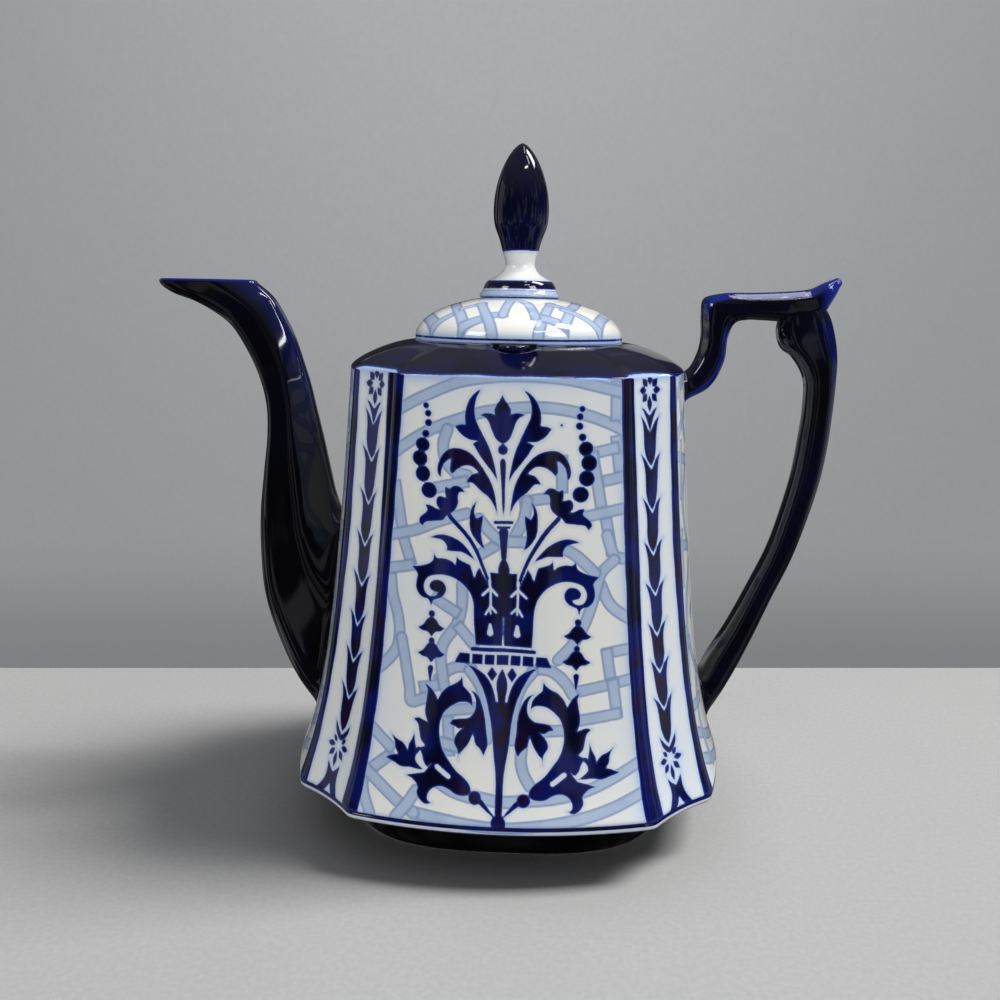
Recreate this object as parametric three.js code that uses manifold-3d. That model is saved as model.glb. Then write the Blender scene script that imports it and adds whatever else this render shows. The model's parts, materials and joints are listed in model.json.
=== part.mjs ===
// Tall porcelain teapot of square plan: coved corners, cobalt spout and handle, keyed lid.
// Millimetres, +Z up. The foot stands on z = 0, the spout points to -X and the handle to +X.
import * as THREE from "three";
import { mergeVertices } from "three/addons/utils/BufferGeometryUtils.js";
import Module from "manifold-3d";

const wasm = await Module();
wasm.setup();

// ---------------------------------------------------------------- driving dimensions

const SPOUT_REACH = 131.6;        // pot axis to the spout's tip
const HANDLE_REACH = 115;         // pot axis to the back of the grip
const AXIS_X = (SPOUT_REACH - HANDLE_REACH) / 2;  // puts the middle of the length on x = 0
const GAP = 0.3;                  // slip joint between luted pieces
const BEYOND = 20;                // how far a cutter runs past what it cuts
const LIMB_STEPS = 30;            // sections along the spout and along the handle

// Plan of the body: four bowed panels between pairs of ridges, with a cove at each corner.
// A ridge stands at (half, depth) from the axis: half along the panel, depth outward.
const BREAK = { z: 162.3, half: 36.6, depth: 52.7, bow: 7.0, cove: 1.2 };
const RIM = { z: 22, half: 49.9, depth: 70.8, bow: 7.5, cove: 1.5 };
const HALF_FLARE = { square: 0.3, sixth: 0.2 };
const DEPTH_FLARE = { square: 0.14, sixth: 0.35 };
const PANEL_PLACES = [-1, -0.8, -0.3, 0.3, 0.8];  // of half, from the left ridge
const COVE_PLACES = [0, 0.3, 0.7];                // of the way round the corner
const HALF_INSET = 0.6;           // share of an inset by which a panel also gets narrower
const OUTLINE_SMOOTHING = 2;      // points on the outline for each of these places
const WALL_LEVELS = [0, 0.2, 0.4, 0.6, 0.75, 0.86, 0.94, 1];  // from the break down to the rim

const WALL = 3.6;                 // thickness of the cast wall
const FOOT_TOP = 11;              // underside of the floor
const FLOOR = { top: 15, inset: 11.6 };  // flat inside floor, in from the rim's outline
const ROLL = { height: 2, tuck: 1, drop: 0.8 };  // rolled rim under the flare
const FOOT = { half: 57.7, power: 3, thickness: 5, lean: 1.6, chamfer: 0.8, ledge: 2 };

const SEAT_Z = 171.4;             // where the lid rests
const SEAT_RADIUS = 38.5;
const MOUTH_RADIUS = 34;
const GALLERY = { depth: 6.3, lip: 3 };  // thickness and width of the step round the mouth
const SHOULDER_STEPS = 5;
const SHOULDER_FLATNESS = 1.4;    // 1 would be a plain quarter ellipse

const LUG = { radius: 5.2, centre: 38, bottom: 168.7 };
const NOTCH = { radius: 7.2, bottom: LUG.bottom - GAP };

const LID_EDGE_Z = SEAT_Z + 1.1;  // top of the lid's upright edge
const DOME = { radius: 37.5, rise: 15, undercut: 0.4 };
const DOME_HOLLOW = { radius: 29.8, rise: 10.7 };
const COLLAR_Z = 186.4;           // flat top of the dome
const NECK = { z: 197.9, radius: 5.3 };  // joint between the collar and the finial
const TIP_Z = 240;
const FLANGE = { outer: 32.5, inner: DOME_HOLLOW.radius, bottom: 159.2, bevel: 1 };

const STRAINER = { radius: 1.8, pitch: 7, x: -62, z: 74, rows: 2 };
const MOUTH_CUT_Z = 191.2;        // the spout is cut level here

const UP = new THREE.Vector3(0, 0, 1);

// ---------------------------------------------------------------- shape helpers

// Closed surface through rings of equal point count. Its ends are fanned shut, or, if joined,
// the last ring runs back to the first.
function loft(rings, joined = false) {
  const count = rings[0].length;
  const positions = rings.flat().flatMap((point) => [point.x, point.y, point.z]);
  const index = [];
  const bands = joined ? rings.length : rings.length - 1;
  for (let row = 0; row < bands; row += 1) {
    const next = (row + 1) % rings.length;
    for (let i = 0; i < count; i += 1) {
      const j = (i + 1) % count;
      index.push(row * count + i, row * count + j, next * count + j);
      index.push(row * count + i, next * count + j, next * count + i);
    }
  }
  if (!joined) {
    for (const row of [0, bands]) {
      const middle = new THREE.Vector3();
      for (const point of rings[row]) middle.add(point);
      middle.divideScalar(count);
      const hub = positions.length / 3;
      positions.push(middle.x, middle.y, middle.z);
      for (let i = 0; i < count; i += 1) {
        const a = row * count + i;
        const b = row * count + (i + 1) % count;
        index.push(hub, row === 0 ? b : a, row === 0 ? a : b);
      }
    }
  }
  const geometry = new THREE.BufferGeometry();
  geometry.setAttribute("position", new THREE.Float32BufferAttribute(positions, 3));
  geometry.setIndex(index);
  return geometry;
}

// Turned piece from [radius, height] pairs that start and end on the axis or close on themselves.
function turned(profile, segments) {
  const points = profile.map(([radius, height]) => new THREE.Vector2(radius, height));
  const geometry = new THREE.LatheGeometry(points, segments);
  geometry.rotateX(Math.PI / 2);
  return geometry;
}

function disc(radius, bottom, top, x, y, segments) {
  const geometry = new THREE.CylinderGeometry(radius, radius, top - bottom, segments);
  geometry.rotateX(Math.PI / 2);
  geometry.translate(x, y, (bottom + top) / 2);
  return geometry;
}

function toSolid(geometry) {
  const plain = geometry.clone();
  plain.deleteAttribute("normal");
  plain.deleteAttribute("uv");
  const merged = mergeVertices(plain, 1e-4);
  const vertProperties = new Float32Array(merged.attributes.position.array);
  const triVerts = new Uint32Array(merged.index.array);
  return new wasm.Manifold(new wasm.Mesh({ numProp: 3, vertProperties, triVerts }));
}

function toGeometry(solid) {
  const mesh = solid.getMesh();
  const geometry = new THREE.BufferGeometry();
  geometry.setAttribute("position", new THREE.BufferAttribute(mesh.vertProperties, 3));
  geometry.setIndex(new THREE.BufferAttribute(mesh.triVerts, 1));
  return geometry;
}

function mix(a, b, share) {
  return a + (b - a) * share;
}

// Points along a smooth curve through [x, z] pairs.
function rail(points) {
  const curve = new THREE.CatmullRomCurve3(points.map(([x, z]) => new THREE.Vector3(x, 0, z)));
  return Array.from({ length: LIMB_STEPS + 1 }, (_, i) => curve.getPoint(i / LIMB_STEPS));
}

// One section of a limb between a point on its outer rail and a point on its inner rail.
// Its outline is |u|^power + |v|^power = 1, with v across the limb along Y.
function limbSection(outer, inner, halfWidth, power, sides) {
  const middle = outer.clone().add(inner).multiplyScalar(0.5);
  const reach = outer.clone().sub(inner).multiplyScalar(0.5);
  const ring = [];
  for (let i = 0; i < sides; i += 1) {
    const angle = 2 * Math.PI * i / sides;
    const along = Math.sign(Math.cos(angle)) * Math.abs(Math.cos(angle)) ** (2 / power);
    const across = Math.sign(Math.sin(angle)) * Math.abs(Math.sin(angle)) ** (2 / power);
    const point = middle.clone().addScaledVector(reach, along);
    point.y = -across * halfWidth;
    ring.push(point);
  }
  return ring;
}

// Limb of varying section. Stations are [outer x, outer z, inner x, inner z, half width].
// A positive skin draws the limb in by that much on every side, for its hollow.
function limb(stations, { power, sides, skin }) {
  const outer = rail(stations.map((station) => station.slice(0, 2)));
  const inner = rail(stations.map((station) => station.slice(2, 4)));
  const width = rail(stations.map((station) => [station[4], 0]));
  const rings = outer.map((point, i) => {
    const inward = inner[i].clone().sub(point).normalize().multiplyScalar(skin);
    const a = point.clone().add(inward);
    const b = inner[i].clone().sub(inward);
    return limbSection(a, b, width[i].x - skin, power, sides);
  });
  return loft(rings);
}

// ---------------------------------------------------------------- body

function flare(share, { square, sixth }) {
  return (1 - square - sixth) * share + square * share ** 2 + sixth * share ** 6;
}

// Plan at a share of the way from the shoulder break down to the rim.
function planAt(share, inset) {
  const spread = flare(share, DEPTH_FLARE);
  return {
    half: mix(BREAK.half, RIM.half, flare(share, HALF_FLARE)) - HALF_INSET * inset,
    depth: mix(BREAK.depth, RIM.depth, spread) - inset,
    bow: mix(BREAK.bow, RIM.bow, spread),
    cove: mix(BREAK.cove, RIM.cove, spread),
  };
}

// Outline of a plan, anticlockwise from the left ridge of the -Y panel.
function planOutline({ half, depth, bow, cove }) {
  const side = PANEL_PLACES.map((place) => [half * place, -depth - bow * (1 - place ** 2)]);
  for (const place of COVE_PLACES) {
    const sink = 4 * cove * place * (1 - place) / Math.SQRT2;
    side.push([mix(half, depth, place) - sink, mix(-depth, -half, place) + sink]);
  }
  const places = [];
  for (let quarter = 0; quarter < 4; quarter += 1) {
    const turn = quarter * Math.PI / 2;
    for (const [x, y] of side) {
      places.push(new THREE.Vector3(x, y, 0).applyAxisAngle(UP, turn));
    }
  }
  const curve = new THREE.CatmullRomCurve3(places, true);
  const count = places.length * OUTLINE_SMOOTHING;
  return Array.from({ length: count }, (_, i) => {
    const point = curve.getPoint(i / count);
    return new THREE.Vector2(point.x, point.y);
  });
}

function ringAt(outline, z) {
  return outline.map((point) => new THREE.Vector3(AXIS_X + point.x, point.y, z));
}

// Circle with one point beside each point of an outline.
function roundOf(outline, radius) {
  return outline.map((point) => point.clone().setLength(radius));
}

// Rounded square that a foot of this half width stands on.
function footOutline(outline, half) {
  return outline.map((point) => {
    const unit = point.clone().normalize();
    const spread = Math.abs(unit.x) ** FOOT.power + Math.abs(unit.y) ** FOOT.power;
    return unit.multiplyScalar(half / spread ** (1 / FOOT.power));
  });
}

function blend(from, to, share) {
  return from.map((point, i) => point.clone().lerp(to[i], share));
}

// Shoulder from an outline at one height in to a circle at another: a flattened quarter round.
function shoulderRings(outline, low, radius, high) {
  const round = roundOf(outline, radius);
  const rings = [];
  for (let i = 1; i <= SHOULDER_STEPS; i += 1) {
    const angle = i / SHOULDER_STEPS * Math.PI / 2;
    const inward = i === SHOULDER_STEPS ? 1 : 1 - Math.cos(angle) ** SHOULDER_FLATNESS;
    const z = mix(low, high, Math.sin(angle) ** SHOULDER_FLATNESS);
    rings.push(ringAt(blend(outline, round, inward), z));
  }
  return rings;
}

// Outer faces of the body from the underside up to the lid seat, grown by an offset.
function outerRings(offset) {
  const rim = planOutline(planAt(1, -offset));
  const tucked = planOutline(planAt(1, ROLL.tuck - offset));
  const rollZ = RIM.z - ROLL.height;
  const rings = [
    ringAt(footOutline(rim, FOOT.half + FOOT.ledge + offset), FOOT_TOP - offset),
    ringAt(tucked, rollZ - ROLL.drop),
    ringAt(rim, rollZ),
  ];
  for (const share of WALL_LEVELS.toReversed()) {
    rings.push(ringAt(planOutline(planAt(share, -offset)), mix(BREAK.z, RIM.z, share)));
  }
  const top = planOutline(planAt(0, -offset));
  rings.push(...shoulderRings(top, BREAK.z, SEAT_RADIUS, SEAT_Z + offset));
  return rings;
}

// Inner faces from the lid mouth down to the floor.
function innerRings() {
  const top = planOutline(planAt(0, WALL));
  const mouth = roundOf(top, MOUTH_RADIUS);
  const galleryZ = SEAT_Z - GALLERY.depth;
  const rings = [ringAt(mouth, SEAT_Z), ringAt(mouth, galleryZ)];
  const under = shoulderRings(top, BREAK.z - WALL, MOUTH_RADIUS + GALLERY.lip, galleryZ);
  rings.push(...under.toReversed());
  for (const share of WALL_LEVELS) {
    const z = mix(BREAK.z - WALL, RIM.z, share);
    rings.push(ringAt(planOutline(planAt(share, WALL)), z));
  }
  rings.push(ringAt(planOutline(planAt(1, FLOOR.inset)), FLOOR.top));
  return rings;
}

// Staggered rows of holes through the wall behind the spout's root.
function strainerHoles() {
  const { radius, pitch, x, z, rows } = STRAINER;
  const holes = [];
  for (let row = -rows; row <= rows; row += 1) {
    const places = row % 2 === 0 ? [-1, 0, 1] : [-0.5, 0.5];
    for (const place of places) {
      const hole = new THREE.CylinderGeometry(radius, radius, 2 * BEYOND, 10);
      hole.rotateZ(Math.PI / 2);
      hole.translate(AXIS_X + x, place * pitch, z + row * pitch);
      holes.push(hole);
    }
  }
  return holes;
}

function bodyShell() {
  let body = toSolid(loft([...outerRings(0), ...innerRings()]));
  const notch = disc(NOTCH.radius, NOTCH.bottom, SEAT_Z + BEYOND, AXIS_X, -LUG.centre, 24);
  body = body.subtract(toSolid(notch));
  for (const hole of strainerHoles()) body = body.subtract(toSolid(hole));
  return toGeometry(body);
}

// Solid block a little larger than the body, which trims what is luted against it.
function bodyBlock() {
  return toSolid(loft(outerRings(GAP)));
}

function footRing() {
  const plan = planOutline(planAt(1, 0));
  const { half, thickness, lean, chamfer } = FOOT;
  const profile = [
    [half - chamfer, 0],
    [half, chamfer],
    [half - lean, FOOT_TOP],
    [half - lean - thickness, FOOT_TOP],
    [half - thickness, chamfer],
    [half - thickness + chamfer, 0],
  ];
  return loft(profile.map(([reach, z]) => ringAt(footOutline(plan, reach), z)), true);
}

// ---------------------------------------------------------------- spout

// From the wide root inside the wall, up the swan neck and past the level cut of the mouth.
const SPOUT_STATIONS = [
  [-66, 20, -54, 88, 16.5],
  [-81.6, 38.8, -59.3, 97, 16],
  [-90.4, 58, -65.3, 104, 14.8],
  [-95, 74, -68.3, 112, 13.4],
  [-96.3, 92, -70.4, 122, 12.2],
  [-96, 106, -72.6, 133, 11.2],
  [-94.4, 121, -75.2, 144.5, 10.3],
  [-92.8, 135, -77.2, 153.5, 9.5],
  [-92.9, 146, -79.7, 162, 8.9],
  [-95.4, 156.5, -82.7, 171.2, 8.3],
  [-100.4, 167.4, -86.1, 178.4, 7.8],
  [-105.6, 175.1, -90.1, 185, 7.3],
  [-111.8, 179.7, -95, 189.4, 6.9],
  [-118.8, 183.3, -102, 194, 6.5],
  [-126.4, 186, -112, 199, 6.1],
  [-131, 189.2, -122, 204, 5.8],
  [-132, 194, -128, 206, 5.5],
];
const SPOUT_OUTSIDE = { power: 2.5, sides: 16, skin: 0 };
const SPOUT_HOLLOW = { power: 2.3, sides: 12, skin: 2.6 };

function spout() {
  const outside = toSolid(limb(SPOUT_STATIONS, SPOUT_OUTSIDE));
  const hollow = toSolid(limb(SPOUT_STATIONS, SPOUT_HOLLOW));
  const above = new THREE.BoxGeometry(SPOUT_REACH, 2 * BEYOND, 2 * BEYOND);
  above.translate(-SPOUT_REACH, 0, MOUTH_CUT_Z + BEYOND);
  const open = outside.subtract(hollow).subtract(toSolid(above));
  return toGeometry(open.translate([AXIS_X, 0, 0]).subtract(bodyBlock()));
}

// ---------------------------------------------------------------- handle

// Stem out of the shoulder, square corner, level bar and thumb rest.
const CRANK_STATIONS = [
  [46, 157, 46, 144, 6.6],
  [61, 161.5, 61, 151.4, 6.4],
  [64.8, 168, 69.6, 156.4, 6.2],
  [65.9, 174, 74.3, 165.5, 6],
  [65.6, 181.5, 75.3, 174.5, 6],
  [66.2, 187.6, 77.6, 179.3, 6],
  [72, 189.6, 81.5, 180.4, 6],
  [84, 190.1, 87, 180.4, 6],
  [94, 190.6, 96, 180.2, 6],
  [103.5, 191.7, 107.5, 182.5, 5.4],
  [108.4, 194, 112, 188.6, 4.2],
  [112, 195.4, 114.1, 192.8, 2.2],
];
// Knuckle under the end of the bar, long curved grip and lower root.
const GRIP_STATIONS = [
  [107, 188, 95, 186.5, 5],
  [111, 182.5, 93, 177, 6.2],
  [113.4, 175.5, 94.9, 170.9, 6.6],
  [114.8, 168, 99.8, 166.8, 6.6],
  [HANDLE_REACH, 159, 103.8, 160, 6.3],
  [114.6, 148, 104.5, 149, 6.1],
  [113.7, 135, 103.5, 136.5, 6.1],
  [111.9, 122.5, 102, 124.5, 6.1],
  [108.3, 108, 98.9, 110.5, 6.2],
  [103.5, 92.5, 94.9, 96.5, 6.3],
  [97.4, 78, 89, 82.5, 6.5],
  [90.6, 61, 81.6, 66.5, 6.7],
  [84.2, 46.5, 74.8, 54, 6.9],
  [76.9, 33.4, 71, 45.5, 7.1],
  [62, 16, 58, 34, 7.3],
];

const HANDLE_SECTION = { power: 3, sides: 12, skin: 0 };

function handle() {
  const crank = toSolid(limb(CRANK_STATIONS, HANDLE_SECTION));
  const grip = toSolid(limb(GRIP_STATIONS, HANDLE_SECTION));
  const whole = crank.add(grip).translate([AXIS_X, 0, 0]);
  return toGeometry(whole.subtract(bodyBlock()));
}

// ---------------------------------------------------------------- lid

// Arc of a flattened dome on the lid's edge, as [radius, height] pairs from one radius to another.
function domeArc({ radius, rise }, fromRadius, toRadius, steps) {
  const start = Math.acos(fromRadius / radius);
  const end = Math.acos(toRadius / radius);
  return Array.from({ length: steps + 1 }, (_, i) => {
    const angle = mix(start, end, i / steps);
    return [radius * Math.cos(angle), LID_EDGE_Z + rise * Math.sin(angle)];
  });
}

function lidDome() {
  const flat = DOME.radius * Math.sqrt(1 - ((COLLAR_Z - LID_EDGE_Z) / DOME.rise) ** 2);
  const profile = [
    ...domeArc(DOME_HOLLOW, 0, DOME_HOLLOW.radius, 6),
    [DOME_HOLLOW.radius, SEAT_Z],
    [DOME.radius - DOME.undercut, SEAT_Z],
    ...domeArc(DOME, DOME.radius, flat, 7),
    [0, COLLAR_Z],
  ];
  return turned(profile, 40);
}

function lidFlange() {
  const { outer, inner, bottom, bevel } = FLANGE;
  const profile = [
    [inner, bottom],
    [outer - bevel, bottom],
    [outer, bottom + bevel],
    [outer, SEAT_Z],
    [inner, SEAT_Z],
    [inner, bottom],
  ];
  return turned(profile, 40);
}

function lidLug() {
  return disc(LUG.radius, LUG.bottom, SEAT_Z, 0, -LUG.centre, 24);
}

function lidCollar() {
  const profile = [
    [0, COLLAR_Z],
    [14, COLLAR_Z],
    [14.5, 187.2],
    [13.9, 188.3],
    [13.2, 189.6],
    [12.6, 191.6],
    [11.4, 192.8],
    [9.2, 193.6],
    [6.8, 195.6],
    [NECK.radius, NECK.z],
    [0, NECK.z],
  ];
  return turned(profile, 32);
}

function finial() {
  const profile = [
    [0, NECK.z],
    [NECK.radius, NECK.z],
    [5.6, 200.7],
    [6.5, 203.1],
    [7.6, 207],
    [9.4, 212],
    [9.9, 217.8],
    [9, 224.8],
    [6.9, 231.6],
    [4.1, 236.9],
    [1.6, 239.4],
    [0, TIP_Z],
  ];
  return turned(profile, 28);
}

// ---------------------------------------------------------------- materials and assembly

function glaze(color, roughness) {
  return new THREE.MeshStandardMaterial({ color, roughness, metalness: 0 });
}

const whiteGlaze = glaze(0xdfe2e6, 0.15);
const cobaltGlaze = glaze(0x10124a, 0.08);

const pot = new THREE.Group();
const lid = new THREE.Group();
lid.position.x = AXIS_X;

function addPart(group, name, geometry, material) {
  const mesh = new THREE.Mesh(geometry, material);
  mesh.name = name;
  group.add(mesh);
}

addPart(pot, "body_shell", bodyShell(), whiteGlaze);
addPart(pot, "foot_ring", footRing(), cobaltGlaze);
addPart(pot, "spout", spout(), cobaltGlaze);
addPart(pot, "handle", handle(), cobaltGlaze);
addPart(lid, "lid_dome", lidDome(), whiteGlaze);
addPart(lid, "lid_flange", lidFlange(), whiteGlaze);
addPart(lid, "lid_lug", lidLug(), whiteGlaze);
addPart(lid, "lid_collar", lidCollar(), whiteGlaze);
addPart(lid, "finial", finial(), cobaltGlaze);

const teapot = new THREE.Group();
teapot.add(pot, lid);

export default teapot;
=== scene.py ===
"""Porcelain teapot with cobalt painting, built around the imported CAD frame.

Lengths are millimetres measured from the pot's own axis until a mesh is made, then metres.
"""
import json
import math
import bpy
import numpy as np
from mathutils import Matrix, Vector

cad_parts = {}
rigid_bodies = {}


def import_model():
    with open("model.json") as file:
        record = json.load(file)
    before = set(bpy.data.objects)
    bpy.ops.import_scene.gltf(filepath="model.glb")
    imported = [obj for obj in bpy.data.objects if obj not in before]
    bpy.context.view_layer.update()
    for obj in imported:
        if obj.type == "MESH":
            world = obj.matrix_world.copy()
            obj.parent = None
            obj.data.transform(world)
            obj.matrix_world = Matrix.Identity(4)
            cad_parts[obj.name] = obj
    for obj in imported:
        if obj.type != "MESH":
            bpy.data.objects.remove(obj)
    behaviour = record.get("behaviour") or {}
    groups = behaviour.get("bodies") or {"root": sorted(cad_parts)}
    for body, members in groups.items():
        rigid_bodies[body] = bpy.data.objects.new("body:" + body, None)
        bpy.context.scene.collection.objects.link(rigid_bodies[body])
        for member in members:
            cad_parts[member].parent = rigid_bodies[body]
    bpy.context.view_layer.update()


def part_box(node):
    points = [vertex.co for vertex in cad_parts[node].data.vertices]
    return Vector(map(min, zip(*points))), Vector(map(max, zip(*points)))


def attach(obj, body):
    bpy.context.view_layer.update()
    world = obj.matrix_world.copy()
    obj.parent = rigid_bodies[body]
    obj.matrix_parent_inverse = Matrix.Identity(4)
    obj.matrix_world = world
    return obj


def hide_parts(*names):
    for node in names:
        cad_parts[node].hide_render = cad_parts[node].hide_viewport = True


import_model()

MM = 0.001
LID_LOW, LID_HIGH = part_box("lid_dome")
AXIS_X = (LID_LOW.x + LID_HIGH.x) / 2

# ------------------------------------------------------------------ measures of the body

BREAK = dict(z=162.3, half=36.6, depth=52.7, bow=7.0, cove=1.2)
RIM = dict(z=22.0, half=49.9, depth=70.8, bow=7.4, cove=1.5)
HALF_FLARE = (0.3, 0.2)
DEPTH_FLARE = (0.14, 0.35)
HALF_INSET = 0.6
WALL = 3.6
FLOOR_TOP = 15.0
FLOOR_INSET = 11.6
FOOT_TOP = 11.0
FOOT_HALF = 57.7
FOOT_WIDTH = 5.0
FOOT_LEAN = 1.6
FOOT_LEDGE = 2.0
FOOT_POWER = 3
SEAT_Z = 171.4
SEAT_RADIUS = 38.5
MOUTH_RADIUS = 34.0
GALLERY_Z = 165.1
SHOULDER_POWER = 1.45           # of the side panels and corners; 2 would be a straight slope
FRONT_SHOULDER_POWER = 1.85
SHOULDER_RUN = 18               # about how far the shoulder reaches inward
NOTCH = dict(y=-38.0, radius=7.0, floor=168.5)
NOTCH_BLEND = 0.25              # softness of its edge
NOTCH_MARGIN = 3.0              # surface this far or more under the recess stays exactly as it is
NOTCH_LOWEST = 164.0            # and so does everything up to this height

PANEL_CELLS = 216
CORNER_CELLS = 56
QUARTER = PANEL_CELLS + CORNER_CELLS
RING = 4 * QUARTER
COARSE = 4                      # unpainted pieces use every fourth cell
RIDGE_SOFTNESS = 3.0            # in cells of the ring
FAR = 3.0                       # painted distances are clipped to this many millimetres
OUTLINE_STEPS = 6               # samples from one point of an outline to the next
STROKE_STEPS = 8
STRAP_OVERHANG = 0.4            # of its width, by which a straight band runs past its end points

# ------------------------------------------------------------------ curves and distances


def curve_through(points, count):
    """Smooth open curve through the points, count samples, even in its own parameter."""
    points = np.array(points, float)
    before = 2 * points[0] - points[1]
    after = 2 * points[-1] - points[-2]
    padded = np.vstack([before, points, after])
    place = np.linspace(0, len(points) - 1, count)
    index = np.minimum(place.astype(int), len(points) - 2)
    t = (place - index)[:, None]
    p0, p1, p2, p3 = (padded[index + k] for k in range(4))

    def gap(a, b):
        return np.maximum(np.linalg.norm(b - a, axis=1, keepdims=True), 1e-6) ** 0.5

    d0, d1, d2 = gap(p0, p1), gap(p1, p2), gap(p2, p3)
    m1 = d1 * ((p1 - p0) / d0 - (p2 - p0) / (d0 + d1) + (p2 - p1) / d1)
    m2 = d1 * ((p2 - p1) / d1 - (p3 - p1) / (d1 + d2) + (p3 - p2) / d2)
    return p1 + t * (m1 + t * (3 * (p2 - p1) - 2 * m1 - m2 + t * (2 * (p1 - p2) + m1 + m2)))


def outline_of(points):
    """Closed outline through the points. A third value marks a point that stays sharp."""
    flat = [point[:2] for point in points]
    marks = [i for i, point in enumerate(points) if len(point) == 3]
    runs = []
    for mark, following in zip(marks, marks[1:] + [marks[0] + len(flat)]):
        run = [flat[i % len(flat)] for i in range(mark, following + 1)]
        runs.append(curve_through(run, OUTLINE_STEPS * (len(run) - 1) + 1)[:-1])
    return np.vstack(runs)


def both_sides(points):
    """Whole outline from its right half, which starts and ends on the axis."""
    mirrored = [(-point[0],) + tuple(point[1:]) for point in points if point[0] > 0]
    return list(points) + mirrored[::-1]


def clipped(distance):
    return np.clip(distance, -FAR, FAR)


def segment_distance(px, pz, starts, ends):
    """Nearest distance from each place to a chain of segments, and where along each it is."""
    along = ends - starts
    length = np.maximum((along ** 2).sum(axis=1), 1e-9)
    dx = px[:, None] - starts[None, :, 0]
    dz = pz[:, None] - starts[None, :, 1]
    t = np.clip((dx * along[:, 0] + dz * along[:, 1]) / length, 0, 1)
    return np.hypot(dx - t * along[:, 0], dz - t * along[:, 1]), t


def near(x, z, shape, margin):
    """Whether each place lies in the box round a shape."""
    low = shape.min(axis=0) - margin
    high = shape.max(axis=0) + margin
    return (x > low[0]) & (x < high[0]) & (z > low[1]) & (z < high[1])


def filled(x, z, points):
    """Signed distance to a closed outline, positive inside."""
    shape = outline_of(points)
    field = np.full(x.shape, -FAR)
    mask = near(x, z, shape, FAR)
    px, pz = x[mask], z[mask]
    ends = np.roll(shape, -1, axis=0)
    distance = segment_distance(px, pz, shape, ends)[0].min(axis=1)
    low, high = shape[:, 1][None], ends[:, 1][None]
    rise = np.where(np.abs(high - low) < 1e-9, 1e-9, high - low)
    crossing = shape[:, 0] + (pz[:, None] - low) / rise * (ends[:, 0] - shape[:, 0])
    hits = ((low > pz[:, None]) != (high > pz[:, None])) & (px[:, None] < crossing)
    inside = hits.sum(axis=1) % 2 == 1
    field[mask] = np.where(inside, distance, -distance)
    return clipped(field)


def stroke(x, z, points, width, end_width=None):
    """Signed distance to a brush stroke along the points, positive inside."""
    path = np.array(points, float)
    if len(points) > 2:
        path = curve_through(points, STROKE_STEPS * (len(points) - 1) + 1)
    end_width = width if end_width is None else end_width
    radii = np.linspace(width, end_width, len(path)) / 2
    field = np.full(x.shape, -FAR)
    mask = near(x, z, path, FAR + width)
    distance, t = segment_distance(x[mask], z[mask], path[:-1], path[1:])
    radius = radii[:-1] + t * (radii[1:] - radii[:-1])
    field[mask] = (radius - distance).max(axis=1)
    return clipped(field)


def strap(x, z, start, end, width):
    """Signed distance to a straight band with square ends, positive inside."""
    start, end = np.array(start, float), np.array(end, float)
    length = np.linalg.norm(end - start)
    along = (end - start) / length
    dx, dz = x - start[0], z - start[1]
    forward = dx * along[0] + dz * along[1] - length / 2
    aside = -dx * along[1] + dz * along[0]
    ends = length / 2 + STRAP_OVERHANG * width - np.abs(forward)
    return clipped(np.minimum(width / 2 - np.abs(aside), ends))


def dot(x, z, centre, radius):
    return clipped(radius - np.hypot(x - centre[0], z - centre[1]))


def blur_ring(values, softness):
    """Gaussian blur round a closed ring of samples, along axis 0."""
    reach = int(4 * softness) + 1
    offsets = np.arange(-reach, reach + 1)
    weights = np.exp(-0.5 * (offsets / softness) ** 2)
    weights /= weights.sum()
    return sum(weight * np.roll(values, -offset, axis=0) for weight, offset in zip(weights, offsets))


def smoothstep(low, high, value):
    t = np.clip((value - low) / (high - low), 0, 1)
    return t * t * (3 - 2 * t)


# ------------------------------------------------------------------ mesh making


def grid_normals(grid):
    """Outward normals of a closed grid whose rows run down the surface and columns anticlockwise."""
    across = np.roll(grid, -1, axis=1) - np.roll(grid, 1, axis=1)
    down = np.gradient(grid, axis=0)
    normals = np.cross(down, across)
    return normals / np.maximum(np.linalg.norm(normals, axis=2, keepdims=True), 1e-12)


def grid_faces(rows, columns, wrap, caps):
    """Quads of a grid, and the fans of triangles that close the rows named in caps."""
    index = np.arange(rows * columns).reshape(rows, columns)
    following = np.roll(index, -1, axis=1) if wrap else index[:, 1:]
    current = index if wrap else index[:, :-1]
    quads = np.stack([current[:-1], current[1:], following[1:], following[:-1]], axis=-1)
    fans = [np.zeros((0, 3), int)]
    for number, row in enumerate(caps):
        ring = index[row]
        hub = np.full_like(ring, rows * columns + number)
        fan = np.stack([hub, ring, np.roll(ring, -1)], axis=-1)
        fans.append(fan if row == 0 else fan[:, ::-1])
    return quads.reshape(-1, 4), np.vstack(fans)


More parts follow.
